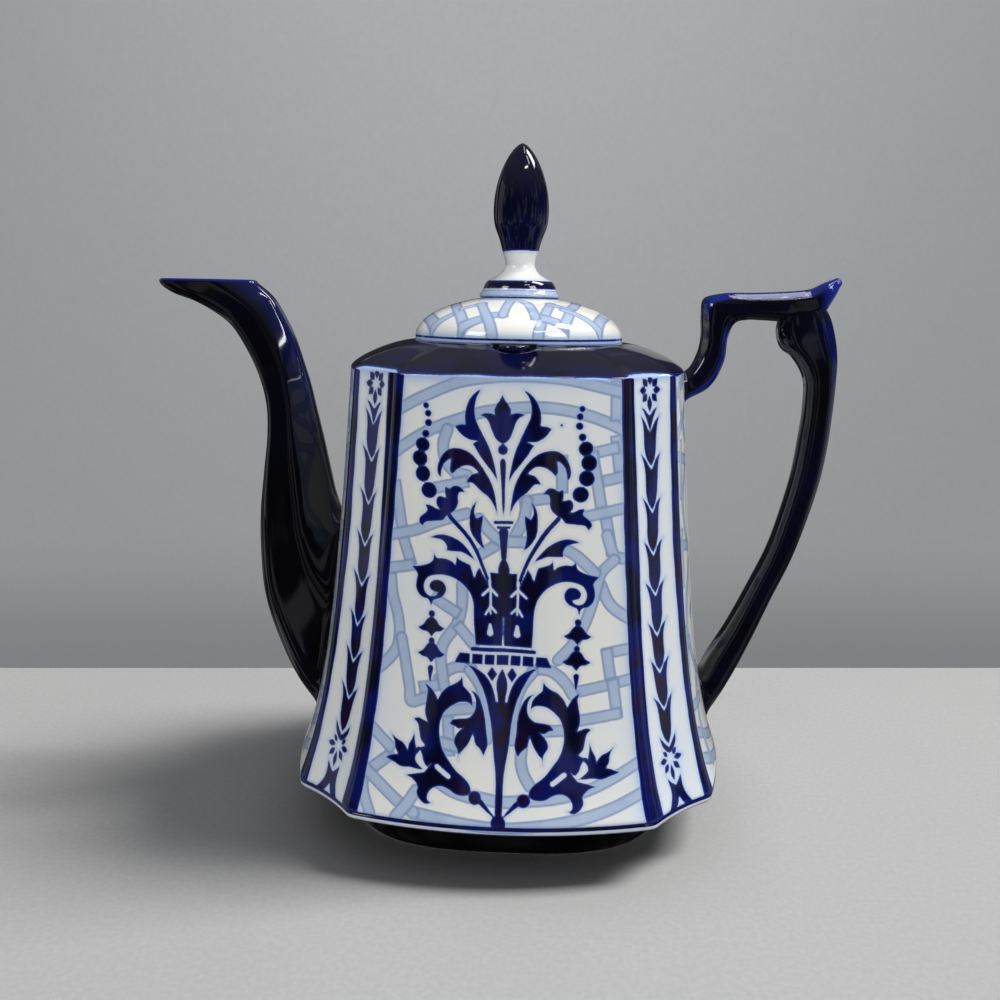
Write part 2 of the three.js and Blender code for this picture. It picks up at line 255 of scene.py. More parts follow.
def grid_piece(name, grid, material, wrap=True, normals=None, paint=None, caps=()):
    """Mesh piece from a rows x columns grid of points. caps names rows closed with a fan."""
    quads, triangles = grid_faces(*grid.shape[:2], wrap, caps)
    hubs = [grid[row].mean(axis=0) for row in caps]
    points = np.vstack([grid.reshape(-1, 3), *hubs]) * MM + np.array([AXIS_X, 0, 0])
    mesh = bpy.data.meshes.new(name)
    mesh.vertices.add(len(points))
    mesh.vertices.foreach_set("co", points.astype(np.float32).ravel())
    corners = np.concatenate([quads.ravel(), triangles.ravel()])
    mesh.loops.add(len(corners))
    mesh.loops.foreach_set("vertex_index", corners.astype(np.int32))
    sizes = np.repeat([4, 3], [len(quads), len(triangles)])
    mesh.polygons.add(len(sizes))
    mesh.polygons.foreach_set("loop_start", (np.cumsum(sizes) - sizes).astype(np.int32))
    mesh.update(calc_edges=True)
    mesh.polygons.foreach_set("use_smooth", np.ones(len(sizes), bool))
    for key, values in (paint or {}).items():
        values = np.asarray(values, np.float32).ravel()
        layer = mesh.attributes.new(key, "FLOAT", "POINT")
        layer.data.foreach_set("value", np.pad(values, (0, len(hubs)), "edge"))
    if normals is not None:
        mesh.normals_split_custom_set_from_vertices(normals.reshape(-1, 3).tolist())
    mesh.materials.append(material)
    piece = bpy.data.objects.new(name, mesh)
    bpy.context.scene.collection.objects.link(piece)
    return piece


def assign(piece, body, slot, *nodes):
    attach(piece, body)
    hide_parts(*nodes)
    return piece


# ------------------------------------------------------------------ plan of the body


def flare(share, terms):
    """How far the body has widened at a share of the way down, both from 0 to 1."""
    square, sixth = terms
    return (1 - square - sixth) * share + square * share ** 2 + sixth * share ** 6


def plan_at(share, inset=0.0):
    """Half width of a panel, its distance from the axis, its bow and the corners' cove."""
    spread = flare(share, DEPTH_FLARE)
    narrow = flare(share, HALF_FLARE)
    half = BREAK["half"] + (RIM["half"] - BREAK["half"]) * narrow - HALF_INSET * inset
    depth = BREAK["depth"] + (RIM["depth"] - BREAK["depth"]) * spread - inset
    bow = BREAK["bow"] + (RIM["bow"] - BREAK["bow"]) * spread
    cove = BREAK["cove"] + (RIM["cove"] - BREAK["cove"]) * spread
    return half, depth, bow, cove


def share_at(z):
    return (BREAK["z"] - z) / (BREAK["z"] - RIM["z"])


def plan_ring(share, inset=0.0, cells=1):
    """Outline in plan, anticlockwise from the left ridge of the front panel, at every so many cells."""
    half, depth, bow, cove = plan_at(share, inset)
    k = np.linspace(-1, 1, PANEL_CELLS, endpoint=False)
    panel = np.stack([half * k, -depth - bow * (1 - k * k)], axis=1)
    p = np.linspace(0, 1, CORNER_CELLS, endpoint=False)
    sink = 4 * cove * p * (1 - p) / math.sqrt(2)
    run = (depth - half) * p
    corner = np.stack([half + run - sink, -depth + run + sink], axis=1)
    quarters = [np.vstack([panel, corner])]
    for _ in range(3):
        quarters.append(np.stack([-quarters[-1][:, 1], quarters[-1][:, 0]], axis=1))
    return blur_ring(np.vstack(quarters), RIDGE_SOFTNESS)[::cells]


def round_ring(ring, radius):
    """Circle with a point in the direction of each point of ring."""
    return ring * (radius / np.linalg.norm(ring, axis=1, keepdims=True))


def foot_ring_plan(ring, half):
    """Rounded square as wide as half, with a point in the direction of each point of ring."""
    unit = ring / np.linalg.norm(ring, axis=1, keepdims=True)
    return unit * half / ((np.abs(unit) ** FOOT_POWER).sum(axis=1, keepdims=True)) ** (1 / FOOT_POWER)


def level(ring, z):
    """Row of points from an outline in plan."""
    return np.column_stack([ring, np.full(len(ring), z)])


def even_shares(inward, upward, weights, count):
    """Resample a profile given as two shares so that its steps are even in length."""
    length = np.hypot(np.diff(inward) * weights[0], np.diff(upward) * weights[1])
    total = np.concatenate([[0], np.cumsum(length)])
    wanted = np.linspace(0, total[-1], count)
    return np.interp(wanted, total, inward), np.interp(wanted, total, upward)


def shoulder_rows(low_ring, low_z, radius, high_z, count):
    """Rows from the round mouth down to the outline at the foot of the shoulder."""
    angle = np.linspace(0, math.pi / 2, 600)
    profiles = []
    for power in (SHOULDER_POWER, FRONT_SHOULDER_POWER):
        inward = 1 - np.cos(angle) ** power
        upward = np.sin(angle) ** power
        profiles.append(even_shares(inward, upward, (SHOULDER_RUN, high_z - low_z), count))
    (side_in, side_up), (front_in, front_up) = profiles
    high_ring = round_ring(low_ring, radius)
    facing = np.abs(low_ring[:, 1]) / np.linalg.norm(low_ring, axis=1)
    front = smoothstep(0.5, 0.85, facing)[:, None]
    rows = []
    for row in reversed(range(count)):
        share = side_in[row] + (front_in[row] - side_in[row]) * front
        rise = side_up[row] + (front_up[row] - side_up[row]) * front
        ring = low_ring + (high_ring - low_ring) * share
        rows.append(np.column_stack([ring, low_z + (high_z - low_z) * rise[:, 0]]))
    return rows


def outside_wall(x, y, z, axis):
    """How far a point stands outside the panel it faces. axis is 'x-' or 'x+'."""
    share = np.clip(share_at(z), 0, 1)
    half, depth, bow, _ = plan_at(share)
    reach = depth + bow * (1 - np.clip(y / half, -1, 1) ** 2)
    return (x if axis == "x+" else -x) - reach


# ------------------------------------------------------------------ painted ornament

# Half outlines, [distance from the ornament's axis, height]. A third value keeps a point sharp.
TOP_FLOWER = [(0, 156.7, 1), (0.9, 154.8), (2, 153.2), (2.6, 151.6), (2.3, 150.3, 1), (4.2, 150.9),
              (7.2, 150.3, 1), (5.2, 149.4), (4.2, 148), (3.4, 145.5), (2.3, 143), (1, 141.8), (0, 141.5)]
SPIKE = [(0, 137), (0.65, 136.3), (0.75, 134), (0.6, 128), (0.35, 122), (0, 119, 1)]
HORNED_LEAF = [(6.6, 157.9, 1), (8, 155.5), (8.6, 152.5), (8.4, 149.5), (7.25, 146.5), (5.65, 143),
               (3.96, 139.5), (2.76, 136), (1.98, 132), (1.7, 129.6, 1), (3.3, 132.5), (5.7, 135.5),
               (7.6, 138), (8.85, 140), (9.5, 141, 1), (7.7, 142, 1), (10.5, 142.2), (12.9, 143.7),
               (14.2, 145.2), (15.1, 146.3, 1), (13.3, 146.9), (11.5, 147, 1), (11.7, 149.5),
               (11.2, 152.5), (9.9, 155.3), (7.9, 157.3)]
CURLING_LEAF = [(1.8, 119.3, 1), (2.25, 123), (3.1, 127), (4.3, 130.3), (6.3, 133.8), (8.6, 136.6),
                (10.2, 138), (12.1, 139), (14.6, 139.5), (16.9, 139.2), (18.9, 137.7), (20.4, 135),
                (20.8, 132.8), (20.4, 131.2), (19.6, 130.2, 1), (19.4, 132.5), (18.7, 134.5),
                (17.4, 135.8), (16.4, 136.2, 1), (16.7, 134.4), (16.7, 132.5), (16, 131.5, 1),
                (14.8, 132.8), (12.7, 134.1), (10.3, 134.3), (8.55, 133.2), (7.6, 132.2, 1),
                (9.8, 131.6), (11, 130.3), (11.8, 129, 1), (9.9, 129), (8.7, 128), (7.15, 126.4),
                (5, 124.8), (3.25, 122.6), (2.4, 120.8)]
BEAD_LEAF = [(18.1, 127.4), (16.95, 126.9), (15.5, 127.8), (13.9, 127.8), (12.75, 126.8), (12, 126, 1),
             (13.8, 125.8), (14.3, 124.5), (14.3, 122.5), (14.9, 120.8), (16.4, 119.3), (18.2, 118.1),
             (19.2, 116.9), (22.2, 116.4), (25.1, 115.9), (26, 114.6, 1), (27.1, 116), (26.8, 117.4),
             (25.4, 118.6), (24.5, 119.6), (25.1, 121.3, 1), (23.6, 121.2), (21.6, 120.3),
             (20.4, 120, 1), (21.4, 121.5), (21.3, 123.2), (20.3, 124.2), (19, 124), (18.2, 123.8, 1),
             (18.4, 125.5)]
UPRIGHT_LEAF = [(8.4, 123.7, 1), (9.1, 121), (9, 119.3), (8.3, 118, 1), (6.4, 119.3, 1), (6.55, 117),
                (7.05, 113.5), (6.7, 110.5), (5.9, 108.2, 1), (8.2, 110.3), (10.2, 113.5),
                (10.6, 117), (10.3, 120.5), (9.4, 122.5)]
SIDE_LEAF = [(23.6, 111.2, 1), (21.9, 111.9), (19.4, 112.3), (16.4, 111.6), (13.4, 110), (11, 107.5),
             (8.8, 104.6, 1), (11.1, 106), (13.5, 107), (16, 107.1), (18.5, 107.2, 1), (18.3, 108.5),
             (19.3, 110.2), (21.4, 110.9)]
VASE = [(0, 106.5, 1), (1.2, 104.3), (1.8, 102.2), (1.7, 101, 1), (4.3, 101.2, 1), (4.2, 99.5),
        (4, 97.5, 1), (4.6, 96.5, 1), (5.6, 98.5), (6.6, 100.5), (7.5, 102.6, 1), (8.6, 101),
        (9.2, 99.5), (9.5, 99.1, 1), (9.8, 100.5), (10.3, 102.3), (10.7, 103.2), (12.1, 103.8),
        (14.6, 105), (15, 106.2, 1), (15.5, 102.9, 1), (16.6, 104), (19.1, 104.8), (21.6, 104.9),
        (22.4, 106.5, 1), (22.9, 103.8), (25.2, 102.4), (27.7, 101.7), (29.8, 101.4, 1),
        (28.5, 100.2), (27.7, 99, 1), (28.2, 97), (28.4, 95), (27.7, 93), (26.2, 91.7),
        (24.9, 91.4), (24.1, 90.9), (23.4, 89, 1), (22.7, 91), (21.4, 91.6), (19.9, 92.3), (18.7, 94),
        (18.5, 95.5), (19.3, 97.2), (20.9, 97.9), (22.7, 97.4), (23.8, 96), (23.5, 94.5),
        (22.2, 93.9), (21.1, 93.7, 1), (21.6, 92.9), (22.9, 92.3), (24.6, 92.7), (25.6, 94.3),
        (25.6, 96), (24.4, 98.3), (21.8, 99.4), (18.8, 99.6), (15.8, 98.7), (12.8, 96.5),
        (10.9, 94), (9.9, 91.5), (9.5, 88), (9.4, 85), (9, 80), (8.8, 78, 1), (0, 78, 1)]
BELL = [(0, 3.8), (1.5, 2.9), (2.9, 1.0), (4.6, 0.1, 1), (2.9, -0.9), (1.4, -1.2), (0, -2.8, 1)]
TRUMPET = [(0, 71, 1), (1.1, 68.8), (1.8, 66.5), (1.75, 64.5), (1.2, 62), (1, 60.2, 1), (1.6, 60.2, 1),
           (2.3, 63), (3.6, 66), (5.7, 68.8), (8.6, 70.7), (11.5, 71.8, 1), (9.3, 69.8), (7.4, 66.5),
           (5.9, 63.5), (4.7, 60.5), (3.6, 55.5), (2.9, 50), (2.3, 45), (1.75, 40), (1.35, 35),
           (1.15, 30), (1.05, 25), (1, 23.5, 1), (0, 23.5, 1)]
SCROLL = [(12.8, 67.7, 1), (12.5, 64.5, 1), (11.1, 63.2), (9.9, 61.8), (9.4, 60), (9.2, 57.7, 1),
          (10.1, 59.2), (11.7, 59.6), (13.9, 59.3), (16.2, 58), (18.2, 56), (19.3, 53), (19.7, 49.5),
          (19.3, 46), (18.3, 43.5), (16.4, 41), (13.9, 38), (11.4, 36), (9.9, 34.5), (9.1, 32.8),
          (9.3, 31.6), (10.4, 30.8), (12.4, 30.6), (14.4, 31), (16.4, 32.2), (18.9, 32.9),
          (20.9, 32.5), (22.4, 31.3), (23.1, 29.7), (22.9, 28.5), (21.5, 27.9, 1), (22.9, 27.4),
          (24.2, 27.5), (25.9, 28.8), (26.6, 30.5), (26.2, 32, 1), (26.9, 33.3), (28.2, 34.5),
          (30.3, 35.3, 1), (26.9, 36.2), (24.3, 36.8, 1), (22.1, 39.6, 1), (23.4, 38.6), (24.6, 39.8),
          (25.4, 42), (26.5, 44, 1), (24.4, 44.7, 1), (25.9, 46.5), (26.4, 49), (26.9, 51.5),
          (28.5, 53, 1), (26.7, 53.4), (24.9, 52.8), (23.6, 52.2, 1), (24.5, 54.5), (24.6, 57),
          (24.2, 60), (23.9, 62.5), (25, 64.7, 1), (22.9, 63.2), (21.5, 61.5), (20.6, 59.7, 1),
          (19.4, 62), (17.4, 64), (14.9, 65.3), (13.4, 66.5)]
INNER_LEAF = [(10.4, 63.4, 1), (8.7, 62.8), (7.1, 61.2), (5.8, 58), (5.1, 54.5), (4.9, 51.5),
              (4.3, 48), (4.2, 46.4), (5.3, 43.2, 1), (6.4, 45), (8.2, 46.8), (8.7, 48.5),
              (9, 50, 1), (10.3, 46.8), (12, 44.4), (13.1, 43.2), (13.4, 41.2, 1), (13.7, 44.4),
              (14.9, 46.5), (14.7, 48.3), (13.4, 50.3), (12.2, 51.4, 1), (13.7, 51.1), (14.9, 51.9),
              (16.5, 52.3, 1), (15.4, 53.8), (13.4, 54.3), (10.9, 54.6), (9.7, 55.3), (8.7, 56.5),
              (8.2, 58.3), (8.3, 60.3), (9.1, 62.2)]
LOWER_FLOWER = [(35.9, 47.8, 1), (33.9, 46.1), (31.8, 45.1), (30.6, 43.8), (30.1, 42.7, 1),
                (29.8, 44.6), (28.7, 46.6), (27.9, 48.9, 1), (27.8, 46), (27.4, 43.9), (27.2, 42),
                (27.4, 40.3), (26, 38.6), (24.2, 37.5, 1), (26.5, 37.5), (29, 37.8), (31.9, 37.6),
                (34.4, 38.5), (37.7, 39.7, 1), (34.9, 40.8), (33.2, 41.2, 1), (34.2, 43), (34.4, 45)]
LEAVES = (HORNED_LEAF, CURLING_LEAF, BEAD_LEAF, UPRIGHT_LEAF, SIDE_LEAF, SCROLL, INNER_LEAF, LOWER_FLOWER)
# Dots, (distance from the axis, height, radius): the beads, then single ones.
DOTS = [(24.3, 152.3, 0.95), (23.7, 149.9, 1.05), (23.5, 147.1, 1.15), (24.3, 143.7, 1.2),
        (25.4, 140.1, 2.3), (26.5, 135.7, 2.5), (25.6, 131, 2.5), (23.6, 125.9, 2.6),
        (0, 139.7, 1.55), (7.65, 30.3, 2.1), (0, 23.2, 2.4)]
# Brush strokes, (points, width at the start, width at the end).
STROKES = [([(26.6, 43.6), (28, 42)], 1.4, 1.4), ([(5.6, 29.2), (3.6, 27.2), (1.7, 25.3)], 1.7, 0.6),
           ([(17, 118.2), (12.1, 113), (8.5, 107.5), (6.2, 102), (4.6, 97.3)], 1.5, 1.0),
           ([(0, 116.9), (2.6, 116.9)], 1.1, 1.1), ([(0, 115.3), (1.9, 115.3)], 0.8, 0.8),
           ([(0, 113.6), (0, 106)], 3.4, 1.6), ([(0, 76.7), (9.6, 76.7)], 1.3, 1.3)]
# Lines left white in the vase and the scroll, in the same form.
CUTS = [([(4.6, 98.5), (4.3, 95), (4.1, 90)], 0.7, 0.7), ([(4.5, 96), (6.9, 93.8)], 0.8, 0.8),
        ([(4.3, 96), (2.2, 94)], 0.8, 0.8), ([(4.1, 90.5), (5.7, 87.8)], 0.7, 0.7),
        ([(4.1, 90.5), (2.3, 88.5)], 0.7, 0.7), ([(4.1, 90), (4.1, 88)], 0.5, 0.5),
        ([(0, 77.6), (0, 87)], 0.8, 0.1), ([(4.3, 84.4), (4.3, 81.9)], 0.9, 2.0),
        ([(20.2, 38.8), (18.4, 37.4), (16.5, 36)], 1.5, 1.5)]
DIAMOND = [(3.2, 71.3, 1), (4.8, 68.9, 1), (3.2, 66.5, 1), (1.6, 68.9, 1)]
BRICK_TOP = 75.2
BRICK_FOOT = 71.9
BRICKS = [(-1.9, 1.9, 1.9), (2.5, 5.6, 5.6), (6.2, 9.6, 9.6), (10.3, 13.8, 15.5)]
# Each brick is its left edge, its right edge at the top and its right edge at the foot.
DROP_PLACE = 23.1                # the hanging bells, from the axis
BELL_HEIGHTS = (82.2, 74)
SPECK = (16.1, 147.7)

# Pale strapwork of a panel: a width, and the centre lines [across, height] that have it.
# Later bands lie on top.
BAND = 3.5
BAND_COVER = 0.12               # a band hides the outlines that lie this far inside it
PANEL_BANDS = [
    (BAND, [
        [(-39, 135.5), (-36, 138), (-30, 142.3), (-25, 145.2), (-20, 147.4), (-15, 149.2), (-8, 151.4),
         (0, 152.6), (6, 153.1), (12, 153), (18, 152.2), (24, 150.8), (30, 148.7), (38, 145)],
        [(33, 160), (33.2, 150.5)],
        [(-38, 149.5), (-35, 151.3), (-30, 154.2), (-25, 156.6), (-20, 158.9), (-15, 160.6),
         (-10, 161.6), (0, 162.6), (12, 162.4), (20, 161.4), (26, 160), (31, 158.8), (37, 157.5)],
        [(-19.5, 145.5), (-20.8, 141), (-20, 136), (-17, 132.5), (-13, 131.5)],
        [(-24, 126.8), (-14, 129.3)],
        [(16.5, 137), (16.8, 128)],
        [(5, 124), (13, 125)],
        [(6, 124), (5, 118), (2.5, 113)],
        [(33.5, 143), (35, 132)],
        [(25, 138.7), (33, 140.5)],
        [(29, 130), (38, 131.9)],
        [(26.2, 138), (29.5, 121)],
        [(31, 118), (33, 108)],
        [(24, 119), (40, 122)],
        [(30, 97), (33, 91), (37, 87.5), (42, 84.8)],
        [(31.5, 113), (34, 106.5), (36, 105.5), (42, 105)],
        [(34, 105), (30, 101), (28.5, 96), (27, 90), (25, 84.5), (22, 79), (17, 73.5)],
        [(17, 109.5), (21.5, 107), (25.5, 103.5), (28, 101)],
        [(40, 76.3), (32.6, 75.2)],
        [(32.6, 75.2), (34.3, 65.2)],
        [(34.3, 65.2), (40.3, 66.3)],
        [(23.5, 63.2), (34.3, 65.2)],
        [(34.9, 65.2), (36.4, 55.6)],
        [(24, 54), (36.4, 55.6)],
        [(9, 70.3), (13, 70.5), (16.5, 69), (20, 65.5), (22, 62.3)],
        [(9, 69.5), (6, 65.5), (4, 60.5), (3.2, 54), (3, 48)],
        [(-10.5, 70.3), (-14.5, 70.5), (-18, 69), (-21, 66)],
        [(-11, 69.5), (-8, 65.5), (-6, 60.5), (-5.2, 54), (-5, 48)],
        [(13, 50.8), (18.7, 51)],
        [(6.3, 46), (6, 41.5), (7, 37.5), (9, 34)],
        [(-18, 58), (-17, 43.5)],
        [(-20, 46), (-14.5, 45)],
        [(-19, 56), (-10, 57.5)],
        [(-20, 33.5), (-16, 31.5), (-10, 30), (-7, 30), (0, 29), (8, 29.5), (15, 29.9), (22, 31),
         (28, 32.5), (35, 35.3), (41, 38.3), (47, 41.6)],
        [(-27.5, 24), (-20, 23), (-10, 21.8), (0, 21.2), (10, 21.8), (20, 23), (30, 25), (38, 27.5),
         (48, 31.8)],
        [(-43, 35), (-36.5, 40.3)],
        [(-45.5, 33), (-45, 28), (-42.5, 22)],
    ]),
    (3.6, [
        [(-46, 50.5), (-36.5, 42.8)],
        [(-45.5, 35.5), (-38, 30), (-33, 26.5), (-28, 24)],
    ]),
    (BAND, [
        [(-27.5, 30.5), (-30.5, 26), (-34, 22)],
        [(-36.3, 127), (-34.2, 115)],
        [(-41, 110), (-37.5, 111), (-30, 113), (-22, 116.5), (-13, 119.5)],
        [(-33, 109), (-31, 103)],
        [(-37.5, 98), (-36.8, 92), (-35, 85.5), (-34.3, 80), (-35, 75), (-38, 70.5), (-43, 65.8)],
        [(-40, 99.7), (-31, 101.7)],
        [(-33.5, 78), (-32, 70), (-30.5, 62), (-30, 58), (-25.5, 59.5)],
        [(-26, 63), (-19, 64.5)],
        [(-14, 97), (-14, 90), (-15.5, 84), (-19.5, 78), (-20.5, 74), (-19.5, 66), (-19, 63.5)],
        [(-22.5, 91.7), (-16, 88)],
        [(-14.5, 83), (-10, 78)],
        [(-8, 107), (-4, 109.5)],
        [(-9, 118), (-5.5, 114), (-2, 111.5), (5.5, 111)],
    ]),
]

# Strapwork of the side panels, right half of each; the left half is its mirror image.
SIDE_BANDS = [
    (BAND, [
        [(0, 152.6), (6, 152.5), (12, 151.6), (18, 150), (24, 147.8), (30, 145), (38, 141)],
        [(0, 162.6), (12, 162.2), (20, 160.8), (26, 159), (31, 157), (37, 154)],
        [(0, 28.6), (8, 29.2), (15, 30.3), (22, 32), (28, 33.9), (35, 36.8), (41, 39.8), (47, 43)],
        [(0, 20.6), (10, 21.4), (20, 23.2), (30, 26), (38, 29), (48, 33.6)],
        [(12, 162), (10, 150), (15, 138), (26, 128), (31, 117), (26, 105), (15, 96), (9, 84), (12, 71),
         (23, 61), (33, 50), (36, 38), (33, 26)],
        [(30, 158), (26, 146), (15, 137), (5, 127), (4, 115), (12, 104), (25, 95), (34, 84), (36, 71),
         (28, 60), (15, 51), (7, 40), (6, 22)],
        [(20, 132), (36, 135.5)],
        [(31, 139), (33, 122)],
        [(0, 140), (13, 142)],
        [(26, 103), (41, 106)],
        [(35, 109), (37, 92)],
        [(0, 110), (9, 107)],
        [(10, 83), (27, 79)],
        [(0, 92), (11, 90)],
        [(34, 71), (44, 70)],
        [(39, 76), (41, 58)],
        [(0, 62), (14, 66)],
        [(28, 48), (45, 50)],
        [(0, 44), (9, 43)],
    ]),
]

# The same for the lid, in plan: [across, toward the back]. The front half is mirrored behind.
LID_BANDS = [
    (3.2, [
        [(-32.8, 3), (-31.6, -10), (-29.8, -17), (-27.6, -22.8)],
        [(-28.4, -22.7), (-20.5, -22.9)],
        [(-23.2, 3), (-22.3, -10), (-20.6, -19), (-18.6, -27), (-17, -31.6)],
        [(-18.5, -20.3), (-11.6, -20.3)],
        [(-17.8, -31.3), (-9.8, -31.3)],
        [(-9.6, -30.5), (-3.8, -30.5)],
        [(-12.6, -18.8), (-11.4, -25), (-9.6, -31), (-7.2, -38)],
        [(-4.2, -31), (-3.2, -25), (-2.4, -19)],
        [(11.8, -18.5), (10.8, -24), (9.4, -30), (7.4, -38)],
        [(6.2, -31.2), (16.6, -31.2)],
        [(-12, -11), (-9, -14.4), (-4.5, -16.2), (0, -18), (3.2, -21.5), (5, -26), (6.4, -31.4)],
        [(20.4, 3), (20.2, -8), (19.2, -16), (18, -22), (17.8, -25.5), (16.4, -30.8)],
        [(11, -20.2), (18, -20.2)],
        [(31.3, 3), (30.2, -10), (28.8, -17), (27.4, -23.4)],
        [(16, -22.3), (27.8, -23.2)],
    ]),
]

# Chain of tulips down a corner: where each one's notch sits.
TULIP_NOTCHES = [144.5, 132.3, 118, 104, 90.5, 77, 64.7, 52.2]
CORNER_BUD = [(0, 149.9, 1), (1, 150.6), (2.2, 151.7), (4.2, 152.6, 1), (3, 150.9), (1.8, 148.9),
              (0.9, 146.8), (0, 144.7, 1)]
LAST_TULIP = [(0, 40.3, 1), (1.6, 41.6), (4.4, 44.6, 1), (3.6, 41.5), (1.6, 39.2), (0, 38.4, 1)]
CORNER_TAIL = [(0, 28.2, 1), (1.5, 29.3), (3.5, 31.2, 1), (3.1, 28.5), (3.2, 26), (4.4, 23.4),
               (6.6, 20.8, 1), (3.4, 20.8, 1), (1.3, 22.4), (0, 24.6, 1)]
PETAL_GAP = 1.5                 # from a flower's centre to where its petals start
# Flowers at the ends of the chain: centre, then (angle, reach, width) of each petal.
CORNER_FLOWERS = [
    ((-0.2, 158.0), [(45 * k, 5.4, 2.6) for k in range(8) if k != 6] + [(270, 7.2, 2.6)]),
    ((0.2, 36.6), [(0, 5.8, 2.1), (180, 5.8, 2.1), (225, 5.6, 2.1), (315, 5.6, 2.1), (270, 7.2, 2.0),
                   (40, 4.8, 1.6), (140, 4.8, 1.6)]),
]


def top_axis(z):
    """The painted axis drifts a little to the left above the vase."""
    return -0.6 - 1.9 * np.clip(z - 95, 0, None) / 63


def wobble(x, z, seed, amount):
    """Slow unevenness of a hand-drawn line."""
    phase = 1.7 * seed
    return amount * (np.sin(0.31 * x + 0.17 * z + phase) + np.sin(0.13 * x - 0.41 * z + 2.3 * phase)) / 2


def ornament_field(u, z):
    """Signed distance to the cobalt ornament of a panel."""
    right = u > top_axis(z)
    x = np.abs(u - top_axis(z)) / np.where(right, 1.02, 1.0)
    droop = 0.055 * x * right * smoothstep(116, 104, z)
    x = x + wobble(u, z, 1, 0.18)
    height = z - 0.0065 * (z - 95) + droop + wobble(u, z, 2, 0.15)
    drop = x - DROP_PLACE
    parts = [filled(x, height, leaf) for leaf in (*LEAVES, DIAMOND)]
    parts += [filled(np.abs(x), height, both_sides(half)) for half in (TOP_FLOWER, SPIKE, VASE, TRUMPET)]
    parts += [dot(x, height, (across, up), radius) for across, up, radius in DOTS]
    parts += [stroke(x, height, *each) for each in STROKES]
    for left, right_top, right_foot in BRICKS:
        brick = [(left, BRICK_TOP, 1), (right_top, BRICK_TOP, 1),
                 (right_foot, BRICK_FOOT, 1), (left, BRICK_FOOT, 1)]
        parts.append(filled(x, height, brick))
    parts += [dot(drop, height, (0, 86.8), 1.1), dot(drop, height, (0, 78.2), 1.0)]
    parts += [filled(np.abs(drop), height - centre, both_sides(BELL)) for centre in BELL_HEIGHTS]
    parts.append(stroke(drop, height, [(0, 69.6), (0, 65.2)], 1.9, 0.4))
    field = np.maximum.reduce(parts)
    for cut in CUTS:
        field = np.minimum(field, -stroke(x, height, *cut))
    return np.maximum(field, dot(u, z, SPECK, 0.45))


def band_fields(x, z, bands):
    """Signed distance to the pale bands, and distance to their visible outlines."""
    inside = np.full(x.shape, -FAR)
    line = np.full(x.shape, FAR)
    for width, paths in bands:
        for path in paths:
            here = strap(x, z, *path, width) if len(path) == 2 else stroke(x, z, path, width)
            line = np.where(here > BAND_COVER, np.abs(here), np.minimum(line, np.abs(here)))
            inside = np.maximum(inside, here)
    return inside, line


def petals(s, z, centre, directions):
    """Radiating petals with a clear middle. Each direction is (angle, reach, width)."""
    field = np.full(s.shape, -FAR)
    for angle, reach, width in directions:
        turn = math.radians(angle)
        along = np.array([math.cos(turn), math.sin(turn)])
        start, middle, tip = (np.array(centre) + far * along for far in (PETAL_GAP, 0.62 * reach, reach))
        side = np.array([-along[1], along[0]]) * width / 2
        petal = [(*start, 1), tuple(middle - side), (*tip, 1), tuple(middle + side)]
        field = np.maximum(field, filled(s, z, petal))
    return field


def corner_field(s, z):
    """Signed distance to the painted chain of tulips down a corner strip."""
    s = s + wobble(s, z, 3, 0.3)
    halves = [CORNER_BUD, LAST_TULIP, CORNER_TAIL]
    for notch, following in zip(TULIP_NOTCHES, TULIP_NOTCHES[1:] + [LAST_TULIP[0][1]]):
        halves.append([(0, notch, 1), (1.0, notch + 1.2), (2.3, notch + 3.2), (4.9, notch + 5.6, 1),
                       (3.8, notch + 3), (3.15, notch), (2.9, notch - 3.5), (2.7, following + 6.2),
                       (1.7, following + 3.2), (0, following + 1.1, 1)])
    parts = [filled(np.abs(s), z, both_sides(half)) for half in halves]
    parts += [petals(s, z, centre, directions) for centre, directions in CORNER_FLOWERS]
    return np.maximum.reduce(parts)


# ------------------------------------------------------------------ body grid

STEP = 0.5                      # from one row of the walls to the next
RIM_DROP = 1.2                  # the rolled edge hangs this far below the widest level
RIM_UNDER = 18.05
# Groove and rolled edge under the walls: (inset, height).
RIM_PROFILE = [(0.2, 21.2), (0.35, 20.95), (0.25, 20.7), (0.06, 20.45), (0.0, 20.1), (0.0, 19.6),
               (0.08, 19.1), (0.35, 18.65), (0.8, 18.3), (1.4, RIM_UNDER)]
RIM_INSET = RIM_PROFILE[-1][0]
LIP_ROUND = 0.5                 # radius of the edge between the mouth and the seat
STRIPE_END = 21.7
STRIPE_HEIGHTS = (30, 110, 160) # where the widths of the stripes are given, bottom first
# White limits of each corner strip, (top, middle, bottom) toward its first and its second ridge.
BACK_LIMITS = ((8.6, 8.6, 10.6), (8.6, 8.6, 10.6))
CORNER_LIMITS = (((8, 7.6, 10), (9.5, 9.2, 11.5)), BACK_LIMITS, BACK_LIMITS,
                 ((9.3, 9, 11.5), (6, 8, 9.7)))
CORNER_HAZE = (0.25, 0.25, 0.25, 0.05)
# Dark stripe at the left and at the right of a panel: (top, middle, bottom) width, haze beside it.
LEFT_STRIPE = ((2.7, 2.3, 3.2), 0.55)
RIGHT_STRIPE = ((2.1, 2.4, 3.2), 0.72)
SHOULDER_LINE = 163.1           # cobalt starts here at the corners, and a little lower on the panels
PANEL_TOP = 162.5
PANEL_TOP_BOW = 0.7
HAZE_REACH = 2.2                # how fast the haze beside a stripe or under the shoulder fades
RIM_HAZE_Z = 22
RIM_LINE = (20.15, 21.6)        # the blue line in the groove, bottom and top
UNDER_SHADE_Z = 19.0                  # cobalt below this: dark glaze that is also painted shade under the flare
WALL_LEVELS_Z = np.arange(BREAK["z"] - STEP, RIM["z"] - RIM_DROP + 0.5, -STEP)


